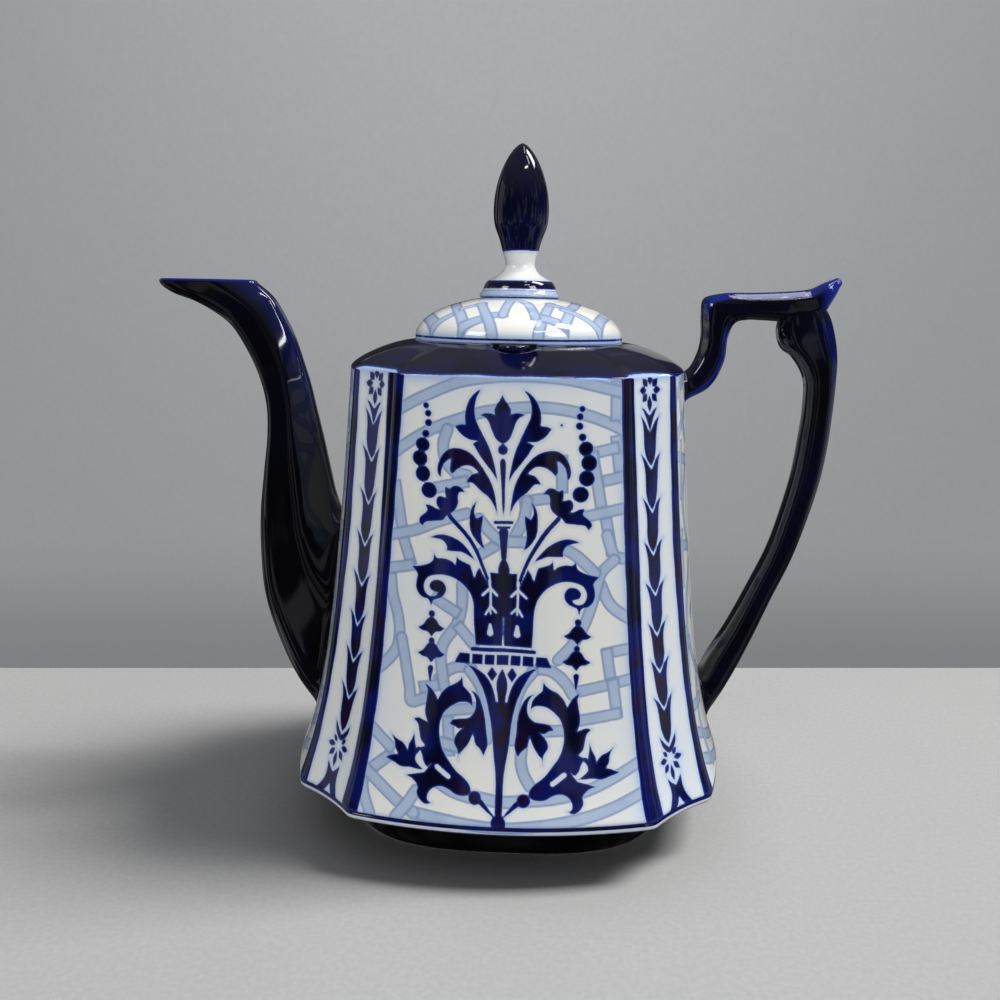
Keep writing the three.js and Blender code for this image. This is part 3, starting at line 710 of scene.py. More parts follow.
def build_body_rows():
    """Rows of the body from the lid seat down to the ledge over the foot."""
    top = plan_ring(0)
    rows = []
    mouth = round_ring(top, MOUTH_RADIUS)
    for z in np.linspace(GALLERY_Z, SEAT_Z - LIP_ROUND, 7):
        rows.append(level(mouth, z))
    for turn in np.radians((30, 60, 90)):
        ring = round_ring(top, MOUTH_RADIUS + LIP_ROUND * (1 - math.cos(turn)))
        rows.append(level(ring, SEAT_Z - LIP_ROUND * (1 - math.sin(turn))))
    for radius in np.linspace(MOUTH_RADIUS + 1, SEAT_RADIUS - 0.3, 7):
        rows.append(level(round_ring(top, radius), SEAT_Z))
    rows += shoulder_rows(top, BREAK["z"], SEAT_RADIUS, SEAT_Z - 0.03, 34)
    seat_rows = len(rows)
    for z in WALL_LEVELS_Z:
        rows.append(level(plan_ring(min(share_at(z), 1)), z))
    for inset, z in RIM_PROFILE:
        rows.append(level(plan_ring(1, inset), z))
    rim = plan_ring(1, RIM_INSET)
    ledge = foot_ring_plan(rim, FOOT_HALF + FOOT_LEDGE)
    for share in np.linspace(0.12, 1, 9):
        z = RIM_UNDER + (FOOT_TOP - RIM_UNDER) * share ** 1.15
        rows.append(level(rim + (ledge - rim) * share, z))
    return np.array(rows), seat_rows


def cut_notch(grid):
    """Sink the recess for the lid's lug into the front of the shoulder."""
    away = np.hypot(grid[..., 0], grid[..., 1] - NOTCH["y"])
    limit = NOTCH["floor"] + 0.9 * np.clip(away - NOTCH["radius"] + 0.9, 0, None) ** 2
    z = grid[..., 2]
    lowered = 0.5 * (z + limit - np.sqrt((z - limit) ** 2 + NOTCH_BLEND ** 2))
    sunk = (limit < z + NOTCH_MARGIN) & (z > NOTCH_LOWEST)
    result = grid.copy()
    result[..., 2] = np.where(sunk, lowered, z)
    return result, away


def stripe_width(z, widths):
    """Width at height z, from the widths at the top, the middle and the bottom."""
    return np.interp(z, STRIPE_HEIGHTS, widths[::-1])


def panel_of(quarter):
    return slice(quarter * QUARTER, quarter * QUARTER + PANEL_CELLS)


def corner_of(quarter):
    return slice(quarter * QUARTER + PANEL_CELLS, (quarter + 1) * QUARTER)


def paint_panels(painted, u, z, half):
    """Ornament, strapwork and side stripes of the four panels."""
    front = (ornament_field(u, z), *band_fields(u, z, PANEL_BANDS))
    across = np.abs(u + wobble(u, z, 6, 0.8))
    side = (np.full(u.shape, -FAR), *band_fields(across, z, SIDE_BANDS))
    (left_width, left_haze), (right_width, right_haze) = LEFT_STRIPE, RIGHT_STRIPE
    width = np.where(u < 0, stripe_width(z, left_width), stripe_width(z, right_width))
    strength = np.where(u < 0, left_haze, right_haze)
    u = np.abs(u)
    for quarter in range(4):
        columns = panel_of(quarter)
        cobalt, band, line = side if quarter % 2 else front
        stripe = u - (half - width) + wobble(u, z, quarter + 5, 0.12)
        stripe = np.minimum(stripe, z - STRIPE_END)
        painted["cobalt"][:, columns] = clipped(np.maximum(cobalt, stripe))
        painted["band"][:, columns] = band
        painted["line"][:, columns] = line
        painted["haze"][:, columns] = strength * np.exp(-np.clip(-stripe, 0, None) / HAZE_REACH)


def paint_corners(painted, z, length):
    """Tulip chains between the stripes of the four corner strips."""
    s = (np.linspace(0, 1, CORNER_CELLS, endpoint=False) - 0.5) * length
    drift = np.interp(z, [30, 160], [0.6, 0.0])
    chains = (-s, s, s, -s - 1.0 + drift)
    for quarter, (first, second) in enumerate(CORNER_LIMITS):
        columns = corner_of(quarter)
        stripe = np.maximum(-s - stripe_width(z, first), s - stripe_width(z, second))
        stripe = np.minimum(stripe + wobble(s, z, quarter, 0.12), z - STRIPE_END)
        cobalt = clipped(np.maximum(corner_field(chains[quarter], z), stripe))
        painted["cobalt"][:, columns] = cobalt
        painted["haze"][:, columns] = CORNER_HAZE[quarter] + 0.4 * np.exp(-np.clip(-cobalt, 0, None) / 0.9)


def shoulder_edge():
    """Height at which the cobalt of the shoulder starts, round the ring."""
    place = np.arange(RING)
    cell = place % QUARTER
    across = cell / PANEL_CELLS * 2 - 1
    edge = np.where(cell < PANEL_CELLS, PANEL_TOP - PANEL_TOP_BOW * across ** 2, SHOULDER_LINE)
    return blur_ring(edge, 4) + 0.12 * np.sin(place * 0.11) + 0.1 * np.sin(place * 0.037)


def paint_body(grid, seat_rows, away):
    """Painted distances for the whole ring of the body."""
    z = grid[..., 2]
    painted = dict(cobalt=np.full(z.shape, -FAR), band=np.full(z.shape, -FAR),
                   line=np.full(z.shape, FAR), haze=np.zeros(z.shape))
    walls = {key: values[seat_rows:] for key, values in painted.items()}
    wall_z = z[seat_rows:]
    half, depth, _, _ = plan_at(np.clip(share_at(wall_z[:, :1]), 0, 1))
    paint_panels(walls, grid[seat_rows:, :PANEL_CELLS, 0], wall_z[:, :PANEL_CELLS], half)
    paint_corners(walls, wall_z[:, PANEL_CELLS:QUARTER], (depth - half) * math.sqrt(2))

    haze = np.maximum(painted["haze"], 0.9 * np.exp(-np.clip(162 - z, 0, None) / HAZE_REACH))
    haze = np.maximum(haze, 0.25 * np.exp(-np.abs(z - RIM_HAZE_Z) / 1.2))
    haze *= smoothstep(20.0, 20.8, z)
    above = z - shoulder_edge()
    shoulder = clipped(np.where(above < 0, 0.4 * above, above))
    cobalt = np.maximum(painted["cobalt"], shoulder)
    radius = np.hypot(grid[..., 0], grid[..., 1])[:seat_rows]
    recess = np.minimum(clipped(NOTCH["radius"] + 0.6 - away[:seat_rows]), radius - MOUTH_RADIUS - 1)
    seat = np.minimum(cobalt[:seat_rows], clipped(radius - (SEAT_RADIUS - 0.6)))
    cobalt[:seat_rows] = np.maximum(seat, recess)
    rim_line = np.minimum((z - RIM_LINE[0]) * 3, RIM_LINE[1] - z)
    # Cobalt under the flare, partly painted shade, and the blue line in the groove.
    cobalt = np.maximum(cobalt, clipped(np.maximum(UNDER_SHADE_Z - z, rim_line)))
    mottle = smoothstep(163.5, 162.0, z) * (z > 19.5)
    return dict(painted, cobalt=cobalt, haze=haze, mottle=mottle)


# ------------------------------------------------------------------ materials


class Nodes:
    """Small helper that writes the node tree of a material or a world as nested calls."""

    def __init__(self, owner, shader="Principled BSDF"):
        owner.use_nodes = True
        self.owner = owner
        self.tree = owner.node_tree
        self.shader = self.tree.nodes[shader]

    def node(self, kind, inputs=(), **settings):
        made = self.tree.nodes.new(kind)
        for key, value in settings.items():
            setattr(made, key, value)
        for key, value in dict(inputs).items():
            self.feed(made.inputs[key], value)
        return made

    def feed(self, socket, value):
        if isinstance(value, bpy.types.NodeSocket):
            self.tree.links.new(value, socket)
        else:
            socket.default_value = value

    def math(self, operation, a, b=0.0):
        return self.node("ShaderNodeMath", {0: a, 1: b}, operation=operation).outputs[0]

    def times(self, a, b):
        return self.math("MULTIPLY", a, b)

    def ramp(self, value, low, high, start=0.0, end=1.0, interpolation="SMOOTHSTEP"):
        made = self.node("ShaderNodeMapRange", {0: value, 1: low, 2: high, 3: start, 4: end},
                         interpolation_type=interpolation)
        return made.outputs[0]

    def mix(self, share, a, b):
        made = self.node("ShaderNodeMix", {0: share, 6: a, 7: b}, data_type="RGBA")
        return made.outputs[2]

    def attribute(self, name):
        return self.node("ShaderNodeAttribute", attribute_name=name).outputs["Fac"]

    def place(self, kind="Object"):
        return self.node("ShaderNodeTexCoord").outputs[kind]

    def noise(self, scale, detail=2.0, place=None):
        inputs = {"Vector": place or self.place(), "Scale": scale, "Detail": detail}
        return self.node("ShaderNodeTexNoise", inputs).outputs["Fac"]

    def ragged(self, scale, detail, amount):
        """Noise on both sides of zero."""
        return self.times(self.math("SUBTRACT", self.noise(scale, detail), 0.5), amount)

    def adjust(self, **values):
        """Plain values of the shader's own sockets, with _ for the spaces in their names."""
        for name, value in values.items():
            self.shader.inputs[name.replace("_", " ")].default_value = value


def srgb(red, green, blue):
    """Linear colour from sRGB values out of 255."""
    def linear(value):
        value /= 255
        return value / 12.92 if value <= 0.04045 else ((value + 0.055) / 1.055) ** 2.4
    return (linear(red), linear(green), linear(blue), 1.0)


PORCELAIN = srgb(232, 232, 226)
PORCELAIN_COOL = srgb(222, 227, 230)
BAND_BLUE = srgb(178, 194, 217)
BAND_WASH = srgb(160, 179, 208)
BAND_LINE = srgb(122, 144, 186)
HALO_BLUE = srgb(150, 178, 222)
HAZE_BLUE = srgb(172, 196, 230)
EDGE_BLUE = srgb(22, 44, 130)
BRIGHT_BLUE = srgb(9, 20, 92)
DEEP_BLUE = srgb(7, 10, 50)
NAVY = srgb(5, 6, 30)
PLUM = srgb(38, 15, 40)
COBALT_DARK = srgb(4, 4, 12)
COBALT_DEEP = srgb(7, 7, 30)
COBALT_THIN = srgb(18, 38, 132)
# Near-black of the foot: dark glaze, darkened further as painted shade under the flare.
FOOT_SHADE_DARK = srgb(2, 2, 5)
FOOT_SHADE_DEEP = srgb(3, 3, 12)
BARE_LIGHT = srgb(206, 200, 188)
BARE_DARK = srgb(180, 172, 160)


def new_nodes(name):
    return Nodes(bpy.data.materials.new(name))


def porcelain(nodes):
    return nodes.mix(nodes.ramp(nodes.noise(22.0), 0.35, 0.75), PORCELAIN, PORCELAIN_COOL)


def pooled(nodes, scale, thin, thick):
    """Glaze that has run together in places."""
    return nodes.mix(nodes.ramp(nodes.noise(scale, 3.0), 0.35, 0.7), thin, thick)


def finish_glaze(nodes, color, roughness=0.06, specular=0.5):
    """Clear, slightly rippled glaze over a colour."""
    nodes.feed(nodes.shader.inputs["Base Color"], color)
    nodes.adjust(Roughness=roughness, IOR=1.5, Specular_IOR_Level=specular)
    waves = {"Height": nodes.noise(95.0, 1.0), "Strength": 0.02, "Distance": 0.002}
    nodes.feed(nodes.shader.inputs["Normal"], nodes.node("ShaderNodeBump", waves).outputs[0])
    return nodes.owner


def painted_glaze():
    """White glaze with pale bands and cobalt painted under it."""
    nodes = new_nodes("painted_porcelain")
    uneven = nodes.ragged(900.0, 3.0, 0.22)
    cobalt = nodes.math("ADD", nodes.attribute("cobalt"), uneven)
    band = nodes.math("ADD", nodes.attribute("band"), uneven)
    line = nodes.attribute("line")
    mottle = nodes.attribute("mottle")
    painted = nodes.mix(nodes.attribute("haze"), porcelain(nodes), HAZE_BLUE)
    wash = nodes.ramp(nodes.noise(140.0, 3.0), 0.2, 0.9)
    painted = nodes.mix(nodes.ramp(band, -0.25, 0.25), painted, nodes.mix(wash, BAND_BLUE, BAND_WASH))
    outline = nodes.times(nodes.ramp(line, 0.72, 0.1), nodes.ramp(band, -0.5, -0.1))
    painted = nodes.mix(nodes.times(outline, 0.8), painted, BAND_LINE)
    painted = nodes.mix(nodes.times(nodes.ramp(cobalt, -1.5, 0.2), 0.42), painted, HALO_BLUE)
    deep = pooled(nodes, 60.0, NAVY, DEEP_BLUE)
    plum = nodes.times(nodes.ramp(nodes.noise(31.0), 0.5, 0.7), 0.55)
    deep = nodes.mix(nodes.times(plum, mottle), deep, PLUM)
    bright = nodes.times(nodes.ramp(nodes.noise(77.0), 0.42, 0.62), 0.85)
    deep = nodes.mix(nodes.times(bright, mottle), deep, BRIGHT_BLUE)
    deep = nodes.mix(nodes.ramp(cobalt, 0.05, 0.75), EDGE_BLUE, deep)
    return finish_glaze(nodes, nodes.mix(nodes.ramp(cobalt, -0.12, 0.14), painted, deep))


def cobalt_glaze():
    """Solid cobalt glaze that breaks to a brighter blue where the attribute thin is high."""
    nodes = new_nodes("cobalt_glaze")
    thin = nodes.attribute("thin")
    uneven = nodes.times(nodes.ragged(160.0, 2.0, 0.3), thin)
    share = nodes.ramp(nodes.math("ADD", thin, uneven), 0.0, 1.0)
    return finish_glaze(nodes, nodes.mix(share, pooled(nodes, 45.0, COBALT_DARK, COBALT_DEEP), COBALT_THIN))


def white_glaze():
    nodes = new_nodes("white_glaze")
    return finish_glaze(nodes, porcelain(nodes))


def foot_glaze_and_shade():
    """Near-black glaze, darkened past the cobalt as painted shade under the flare, down to a bare, pale
    standing edge.
    """
    nodes = new_nodes("foot_glaze_and_shade")
    edge = nodes.math("ADD", nodes.attribute("cobalt"), nodes.ragged(700.0, 3.0, 0.3))
    bare = nodes.mix(nodes.ramp(nodes.noise(500.0, 4.0), 0.3, 0.8), BARE_LIGHT, BARE_DARK)
    color = nodes.mix(nodes.ramp(edge, -0.15, 0.15), bare, pooled(nodes, 45.0, FOOT_SHADE_DARK, FOOT_SHADE_DEEP))
    return finish_glaze(nodes, color, roughness=0.22, specular=0.2)


PAINTED = painted_glaze()
COBALT = cobalt_glaze()
WHITE = white_glaze()
FOOT_GLAZE_AND_SHADE = foot_glaze_and_shade()

# ------------------------------------------------------------------ pieces of the pot

body_grid, seat_rows = build_body_rows()
body_grid, notch_away = cut_notch(body_grid)
body_normals = grid_normals(body_grid)
body_paint = paint_body(body_grid, seat_rows, notch_away)

for number, side in enumerate(("front", "right", "back", "left")):
    first = number * QUARTER - CORNER_CELLS // 2
    columns = np.arange(first, first + QUARTER + 1) % RING
    paint = {key: values[:, columns] for key, values in body_paint.items()}
    piece = grid_piece("wall_" + side, body_grid[:, columns], PAINTED, wrap=False,
                       normals=body_normals[:, columns], paint=paint)
    assign(piece, "pot", "painted_porcelain", "body_shell")


# The inner walls: how far down the flare they follow the outer ones, and the round of their foot.
INNER_FLARE = 0.985
FLOOR_ROUND = 8.5


def build_interior():
    """Inner faces from the gallery under the seat down to the middle of the floor."""
    top = plan_ring(0, WALL, COARSE)
    rows = [level(round_ring(top, radius), GALLERY_Z) for radius in (34, 35, 36)]
    rows += shoulder_rows(top, BREAK["z"] - WALL, 37, GALLERY_Z, 12)
    for z in np.linspace(BREAK["z"] - WALL - 2, FLOOR_TOP + FLOOR_ROUND + 0.5, 60):
        rows.append(level(plan_ring(share_at(z) * INNER_FLARE, WALL, COARSE), z))
    for share in np.linspace(0.1, 1, 8):
        turn = share * math.pi / 2
        inset = WALL + (FLOOR_INSET - WALL) * (1 - math.cos(turn))
        z = FLOOR_TOP + FLOOR_ROUND * (1 - math.sin(turn))
        rows.append(level(plan_ring(INNER_FLARE, inset, COARSE), z))
    floor = rows[-1][:, :2]
    for share in (0.75, 0.5, 0.25):
        rows.append(level(floor * share, FLOOR_TOP))
    return np.array(rows)


interior = build_interior()
piece = grid_piece("inside", interior, WHITE, caps=(len(interior) - 1,))
assign(piece, "pot", "painted_porcelain", "body_shell")


def build_underside():
    ring = foot_ring_plan(plan_ring(1, RIM_INSET, COARSE), FOOT_HALF + FOOT_LEDGE)
    return np.array([level(ring * share, FOOT_TOP) for share in (1, 0.9, 0.7, 0.45, 0.2)])


underside = build_underside()
piece = grid_piece("underside", underside, WHITE, caps=(len(underside) - 1,))
assign(piece, "pot", "painted_porcelain", "body_shell")


def build_foot():
    """Closed loop section of the foot, rounded at its bottom edges."""
    plan = plan_ring(1, 0, COARSE)
    outer, inner = FOOT_HALF, FOOT_HALF - FOOT_WIDTH
    profile = [(outer - FOOT_LEAN, FOOT_TOP), (outer - 1.1, 8), (outer - 0.5, 4.5), (outer - 0.12, 1.8),
               (outer - 0.15, 1), (outer - 0.45, 0.35), (outer - 1.1, 0), (inner + 1.1, 0),
               (inner + 0.45, 0.35), (inner + 0.15, 1), (inner, 2), (inner - FOOT_LEAN, FOOT_TOP)]
    return np.array([level(foot_ring_plan(plan, half), z) for half, z in profile])


BARE_EDGE = 0.7                 # height of the unglazed standing edge
foot_grid = build_foot()
foot_z = foot_grid[..., 2]
# The foot is painted near-black: dark glaze and painted shade under the flare.
piece = grid_piece("foot", foot_grid, FOOT_GLAZE_AND_SHADE, paint={"cobalt": foot_z - BARE_EDGE})
assign(piece, "pot", "cobalt_glaze", "foot_ring")

# ------------------------------------------------------------------ spout and handle

# Stations along a limb: outer line (x, z), inner line (x, z), half width across.
SPOUT_STATIONS = [
    (-66, 20, -54, 88, 16.5), (-81.6, 38.8, -59.3, 97, 16), (-90.4, 58, -65.3, 104, 14.8),
    (-95, 74, -68.3, 112, 13.4), (-96.3, 92, -70.4, 122, 12.2), (-96, 106, -72.6, 133, 11.2),
    (-94.4, 121, -75.2, 144.5, 10.3), (-92.8, 135, -77.2, 153.5, 9.5), (-92.9, 146, -79.7, 162, 8.9),
    (-95.4, 156.5, -82.7, 171.2, 8.3), (-100.4, 167.4, -86.1, 178.4, 7.8),
    (-105.6, 175.1, -90.1, 185, 7.3), (-111.8, 179.7, -95, 189.4, 6.9),
    (-118.8, 183.3, -102, 194, 6.5), (-126.4, 186, -112, 199, 6.1), (-131, 189.2, -122, 204, 5.8),
    (-132, 194, -128, 206, 5.5),
]
CRANK_STATIONS = [
    (46, 157, 46, 144, 6.6), (61, 161.5, 61, 151.4, 6.4), (64.8, 168, 69.6, 156.4, 6.2),
    (65.9, 174, 74.3, 165.5, 6), (65.6, 181.5, 75.3, 174.5, 6), (66.2, 187.6, 77.6, 179.3, 6),
    (72, 189.6, 81.5, 180.4, 6), (84, 190.1, 87, 180.4, 6), (94, 190.6, 96, 180.2, 6),
    (103.5, 191.7, 107.5, 182.5, 5.4), (108.4, 194, 112, 188.6, 4.2), (112, 195.4, 114.1, 192.8, 2.2),
]
GRIP_STATIONS = [
    (107, 188, 95, 186.5, 5), (111, 182.5, 93, 177, 6.2), (113.4, 175.5, 94.9, 170.9, 6.6),
    (114.8, 168, 99.8, 166.8, 6.6), (114.97, 159, 103.8, 160, 6.3), (114.6, 148, 104.5, 149, 6.1),
    (113.7, 135, 103.5, 136.5, 6.1), (111.9, 122.5, 102, 124.5, 6.1), (108.3, 108, 98.9, 110.5, 6.2),
    (103.5, 92.5, 94.9, 96.5, 6.3), (97.4, 78, 89, 82.5, 6.5), (90.6, 61, 81.6, 66.5, 6.7),
    (84.2, 46.5, 74.8, 54, 6.9), (76.9, 33.4, 71, 45.5, 7.1), (62, 16, 58, 34, 7.3),
]
# Half sections: [outer -1 to inner +1, across 0 to 1].
SPOUT_SECTION = [(-1, 0), (-1, 0.38), (-0.72, 0.80), (0.22, 1), (1, 0.42), (1, 0)]
HANDLE_SECTION = [(-1, 0), (-1, 0.45), (-0.5, 0.96), (0.62, 1), (1, 0.6), (1, 0)]
MOUTH_Z = 191.2
LIP = 1.0
SPOUT_SKIN = 2.2


def section_ring(half_section, sides, softness):
    """Closed rounded section from its half, even along its own length."""
    points = half_section + [(a, -b) for a, b in reversed(half_section[1:-1])]
    loop = np.array(points + points[:1], float)
    length = np.concatenate([[0], np.cumsum(np.linalg.norm(np.diff(loop, axis=0), axis=1))])
    place = np.linspace(0, length[-1], sides, endpoint=False)
    ring = np.column_stack([np.interp(place, length, loop[:, k]) for k in range(2)])
    return blur_ring(ring, softness)


def limb_lines(stations, section, samples, skin=0.0):
    """Lines along a limb, [section place, sample], on its face or skin deep under it."""
    stations = np.array(stations, float)
    outer = curve_through(stations[:, 0:2], samples)
    inner = curve_through(stations[:, 2:4], samples)
    width = curve_through(np.column_stack([stations[:, 4], np.zeros(len(stations))]), samples)[:, 0]
    middle = (outer + inner) / 2
    reach = inner - middle
    size = np.linalg.norm(reach, axis=1, keepdims=True)
    reach = reach * (size - skin) / size
    plane = middle[None] + section[:, None, 0:1] * reach[None]
    across = section[:, None, 1] * (width[None] - skin)
    return np.stack([plane[..., 0], across, plane[..., 1]], axis=-1)


def trimmed(lines, starts, ends, count):
    """Resample each line between its own start and end sample places."""
    samples = lines.shape[1]
    result = np.empty((count, lines.shape[0], 3))
    for j, line in enumerate(lines):
        place = np.linspace(starts[j], ends[j], count)
        for k in range(3):
            result[:, j, k] = np.interp(place, np.arange(samples), line[:, k])
    return result


def first_crossing(values, wanted):
    """Sample place where values first rise past wanted."""
    above = np.nonzero(values > wanted)[0]
    if len(above) == 0 or above[0] == 0:
        return 0.0 if len(above) else float(len(values) - 1)
    i = above[0]
    return i - 1 + (wanted - values[i - 1]) / (values[i] - values[i - 1])


def wall_crossings(lines, axis, depth):
    """Where each line passes the given depth inside the wall, as a sample place."""
    return [first_crossing(outside_wall(*line.T, axis), -depth) for line in lines]


def fillet(grid, axis, size):
    """Swell a limb outward where it meets the wall."""
    outside = outside_wall(grid[..., 0], grid[..., 1], grid[..., 2], axis)
    away = grid - grid.mean(axis=1, keepdims=True)
    away /= np.maximum(np.linalg.norm(away, axis=2, keepdims=True), 1e-6)
    swell = size * np.exp(-np.clip(outside, 0, None) / (0.8 * size))
    return grid + away * swell[..., None]


def domed_cap(ring, angles, rise):
    """Rows that dome over the end of a limb. rise is a vector as long as the dome is high."""
    middle = ring.mean(axis=0)
    turns = np.radians(angles)[:, None, None]
    return middle + (ring - middle) * np.cos(turns) + np.array(rise) * np.sin(turns)


SPOUT_SIDES = 96
SPOUT_RIDGES = (34, 62)         # places of the section's two upper edges
SPOUT_ROOT = 1.5                # how deep in the wall the spout starts
HANDLE_SIDES = 80
HANDLE_ROOT = 1.8
CAP_RISE = 1.5


def build_spout():
    section = section_ring(SPOUT_SECTION, SPOUT_SIDES, 1.6)
    grids = []
    for skin in (0.0, SPOUT_SKIN):
        lines = limb_lines(SPOUT_STATIONS, section, 700, skin)
        starts = wall_crossings(lines, "x-", SPOUT_ROOT)
        ends = [first_crossing(line[:, 2], MOUTH_Z - LIP) for line in lines]
        grids.append(trimmed(lines, starts, ends, 190))
    outer, inner = grids
    outer = fillet(outer, "x-", 1.3)
    lip = []
    for angle in np.linspace(0, math.pi, 9)[1:-1]:
        row = (outer[-1] + inner[-1]) / 2 + (outer[-1] - inner[-1]) / 2 * math.cos(angle)
        row[:, 2] = MOUTH_Z - LIP + LIP * math.sin(angle)
        lip.append(row)
    grid = np.concatenate([outer, np.array(lip), inner[::-1]])
    z = grid[..., 2]
    place = np.arange(SPOUT_SIDES)
    ridge = sum(np.exp(-((place - at) / 6.0) ** 2) for at in SPOUT_RIDGES)
    inner_face = smoothstep(0.2, 0.8, section[:, 0])
    thin = 1.1 * smoothstep(MOUTH_Z - 1.6, MOUTH_Z - 0.2, z)
    thin = np.maximum(thin, 0.12 * ridge * smoothstep(140, 188, z))
    thin = np.maximum(thin, 0.38 * inner_face * smoothstep(110, 185, z))
    return grid[::-1], thin[::-1]


spout_grid, spout_thin = build_spout()
piece = grid_piece("spout_body", spout_grid, COBALT, paint={"thin": spout_thin})
assign(piece, "pot", "cobalt_glaze", "spout")


def bevel_weight(section, side):
    """How far each place of a section lies on the bevel between the back and a side."""
    a, b = section[:, 0], np.abs(section[:, 1])
    position = a if side < 0 else -a
    return smoothstep(0.3, 0.5, b) * smoothstep(-0.42, -0.62, position)


def build_crank():
    section = section_ring(HANDLE_SECTION, HANDLE_SIDES, 1.8)
    samples = 700
    lines = limb_lines(CRANK_STATIONS, section, samples)
    starts = wall_crossings(lines, "x+", HANDLE_ROOT)
    grid = fillet(trimmed(lines, starts, [samples - 1] * len(lines), 170), "x+", 1.2)
    forward = CAP_RISE * np.array([0.75, 0, 0.66])
    grid = np.concatenate([grid, domed_cap(grid[-1], np.linspace(0, 82, 8)[1:], forward)])
    stem = smoothstep(184, 176, grid[..., 2].mean(axis=1, keepdims=True))
    thin = 0.6 * bevel_weight(section, -1) * (1 - 0.75 * stem)
    thin = np.maximum(thin, 0.6 * bevel_weight(section, 1) * stem)
    thin = np.maximum(thin, 0.8 * smoothstep(105, 111, grid[..., 0]))
    return grid[::-1], thin[::-1]


crank_grid, crank_thin = build_crank()
piece = grid_piece("handle_crank", crank_grid, COBALT, caps=(0,), paint={"thin": crank_thin})
assign(piece, "pot", "cobalt_glaze", "handle")


def build_grip():
    section = section_ring(HANDLE_SECTION, HANDLE_SIDES, 1.8)
    samples = 900
    lines = limb_lines(GRIP_STATIONS, section, samples)
    ends = [samples - 1 - place for place in wall_crossings(lines[:, ::-1], "x+", HANDLE_ROOT)]
    grid = fillet(trimmed(lines, [0] * len(lines), ends, 260), "x+", 1.4)
    grid = np.concatenate([domed_cap(grid[0], np.linspace(75, 0, 7)[:-1], (0, 0, CAP_RISE)), grid])
    z = grid[..., 2]
    fade = smoothstep(187, 176, z) * (0.12 + 0.88 * smoothstep(112, 160, z))
    return grid, 0.3 * bevel_weight(section, -1) * fade


grip_grid, grip_thin = build_grip()
piece = grid_piece("handle_grip", grip_grid, COBALT, caps=(0,), paint={"thin": grip_thin})
assign(piece, "pot", "cobalt_glaze", "handle")

# ------------------------------------------------------------------ lid

LID_EDGE_Z = 172.5
DOME_RADIUS = 37.5
DOME_RISE = 15.0
COLLAR_Z = 186.4
HOLLOW_RADIUS = 29.8
HOLLOW_RISE = 10.7
FLANGE_OUTER = 32.5
FLANGE_BOTTOM = 159.2
BUD_START = 203.1


def turned(profile, segments):
    """Grid turned from (radius, height) pairs that run from the top down."""
    angle = np.linspace(0, 2 * math.pi, segments, endpoint=False)
    profile = np.array(profile, float)
    x = profile[:, 0:1] * np.cos(angle)
    y = profile[:, 0:1] * np.sin(angle)
    z = np.repeat(profile[:, 1:2], segments, axis=1)
    return np.stack([x, y, z], axis=-1)


LID_LINE_Z = 172.75             # the blue line along the lid's edge
LID_BARE_Z = 172.9              # no bands below this
COLLAR_REACH = 14.3             # radius of the thin line round the collar


def lid_paint(grid):
    x, y = grid[..., 0], grid[..., 1]
    front = -np.abs(y)
    band, line = band_fields(x + wobble(x, y, 4, 0.2), front, LID_BANDS)
    z = grid[..., 2]
    radius = np.hypot(x, y)
    edge_line = 0.4 - np.abs(z - LID_LINE_Z)
    foot_line = 0.3 - np.abs(radius - COLLAR_REACH)
    bare = z < LID_BARE_Z
    return dict(cobalt=clipped(np.maximum(edge_line, foot_line)),
                band=np.where(bare, -FAR, band), line=np.where(bare, FAR, line),
                haze=np.maximum(0.55 * smoothstep(176, 173.5, z), 0.5 * smoothstep(17, 14.5, radius)))


def build_dome():
    flat = DOME_RADIUS * math.sqrt(1 - ((COLLAR_Z - LID_EDGE_Z) / DOME_RISE) ** 2)
    start = math.acos(flat / DOME_RADIUS)
    profile = [(12.5, COLLAR_Z - 0.02)]
    for angle in np.linspace(start, 0, 64):
        profile.append((DOME_RADIUS * math.cos(angle), LID_EDGE_Z + DOME_RISE * math.sin(angle)))
    profile += [(DOME_RADIUS, 172.1), (DOME_RADIUS - 0.05, 171.8), (DOME_RADIUS - 0.25, 171.52),
                (DOME_RADIUS - 0.6, SEAT_Z), (35, SEAT_Z), (FLANGE_OUTER, SEAT_Z)]
    return turned(profile, 720)


dome_grid = build_dome()
piece = grid_piece("dome", dome_grid, PAINTED, paint=lid_paint(dome_grid))
assign(piece, "lid", "painted_porcelain", "lid_dome")


def build_flange():
    """Outside of the flange, round its bottom edge, and up into the hollow of the dome."""
    profile = [(FLANGE_OUTER, SEAT_Z), (FLANGE_OUTER, 166), (FLANGE_OUTER, FLANGE_BOTTOM + 1),
               (FLANGE_OUTER - 0.3, FLANGE_BOTTOM + 0.3), (FLANGE_OUTER - 1, FLANGE_BOTTOM),
               (HOLLOW_RADIUS + 0.7, FLANGE_BOTTOM), (HOLLOW_RADIUS + 0.2, FLANGE_BOTTOM + 0.2),
               (HOLLOW_RADIUS, FLANGE_BOTTOM + 0.7), (HOLLOW_RADIUS, 166), (HOLLOW_RADIUS, LID_EDGE_Z)]
    return turned(profile, 180)


def build_hollow():
    profile = [(HOLLOW_RADIUS, LID_EDGE_Z)]
    for angle in np.linspace(0, math.pi / 2 * 0.96, 16)[1:]:
        profile.append((HOLLOW_RADIUS * math.cos(angle), LID_EDGE_Z + HOLLOW_RISE * math.sin(angle)))
    return turned(profile, 180)


flange_grid = build_flange()
piece = grid_piece("flange", flange_grid, WHITE)
assign(piece, "lid", "white_glaze", "lid_flange")
hollow_grid = build_hollow()
piece = grid_piece("dome_hollow", hollow_grid, WHITE, caps=(len(hollow_grid) - 1,))
assign(piece, "lid", "painted_porcelain", "lid_dome")


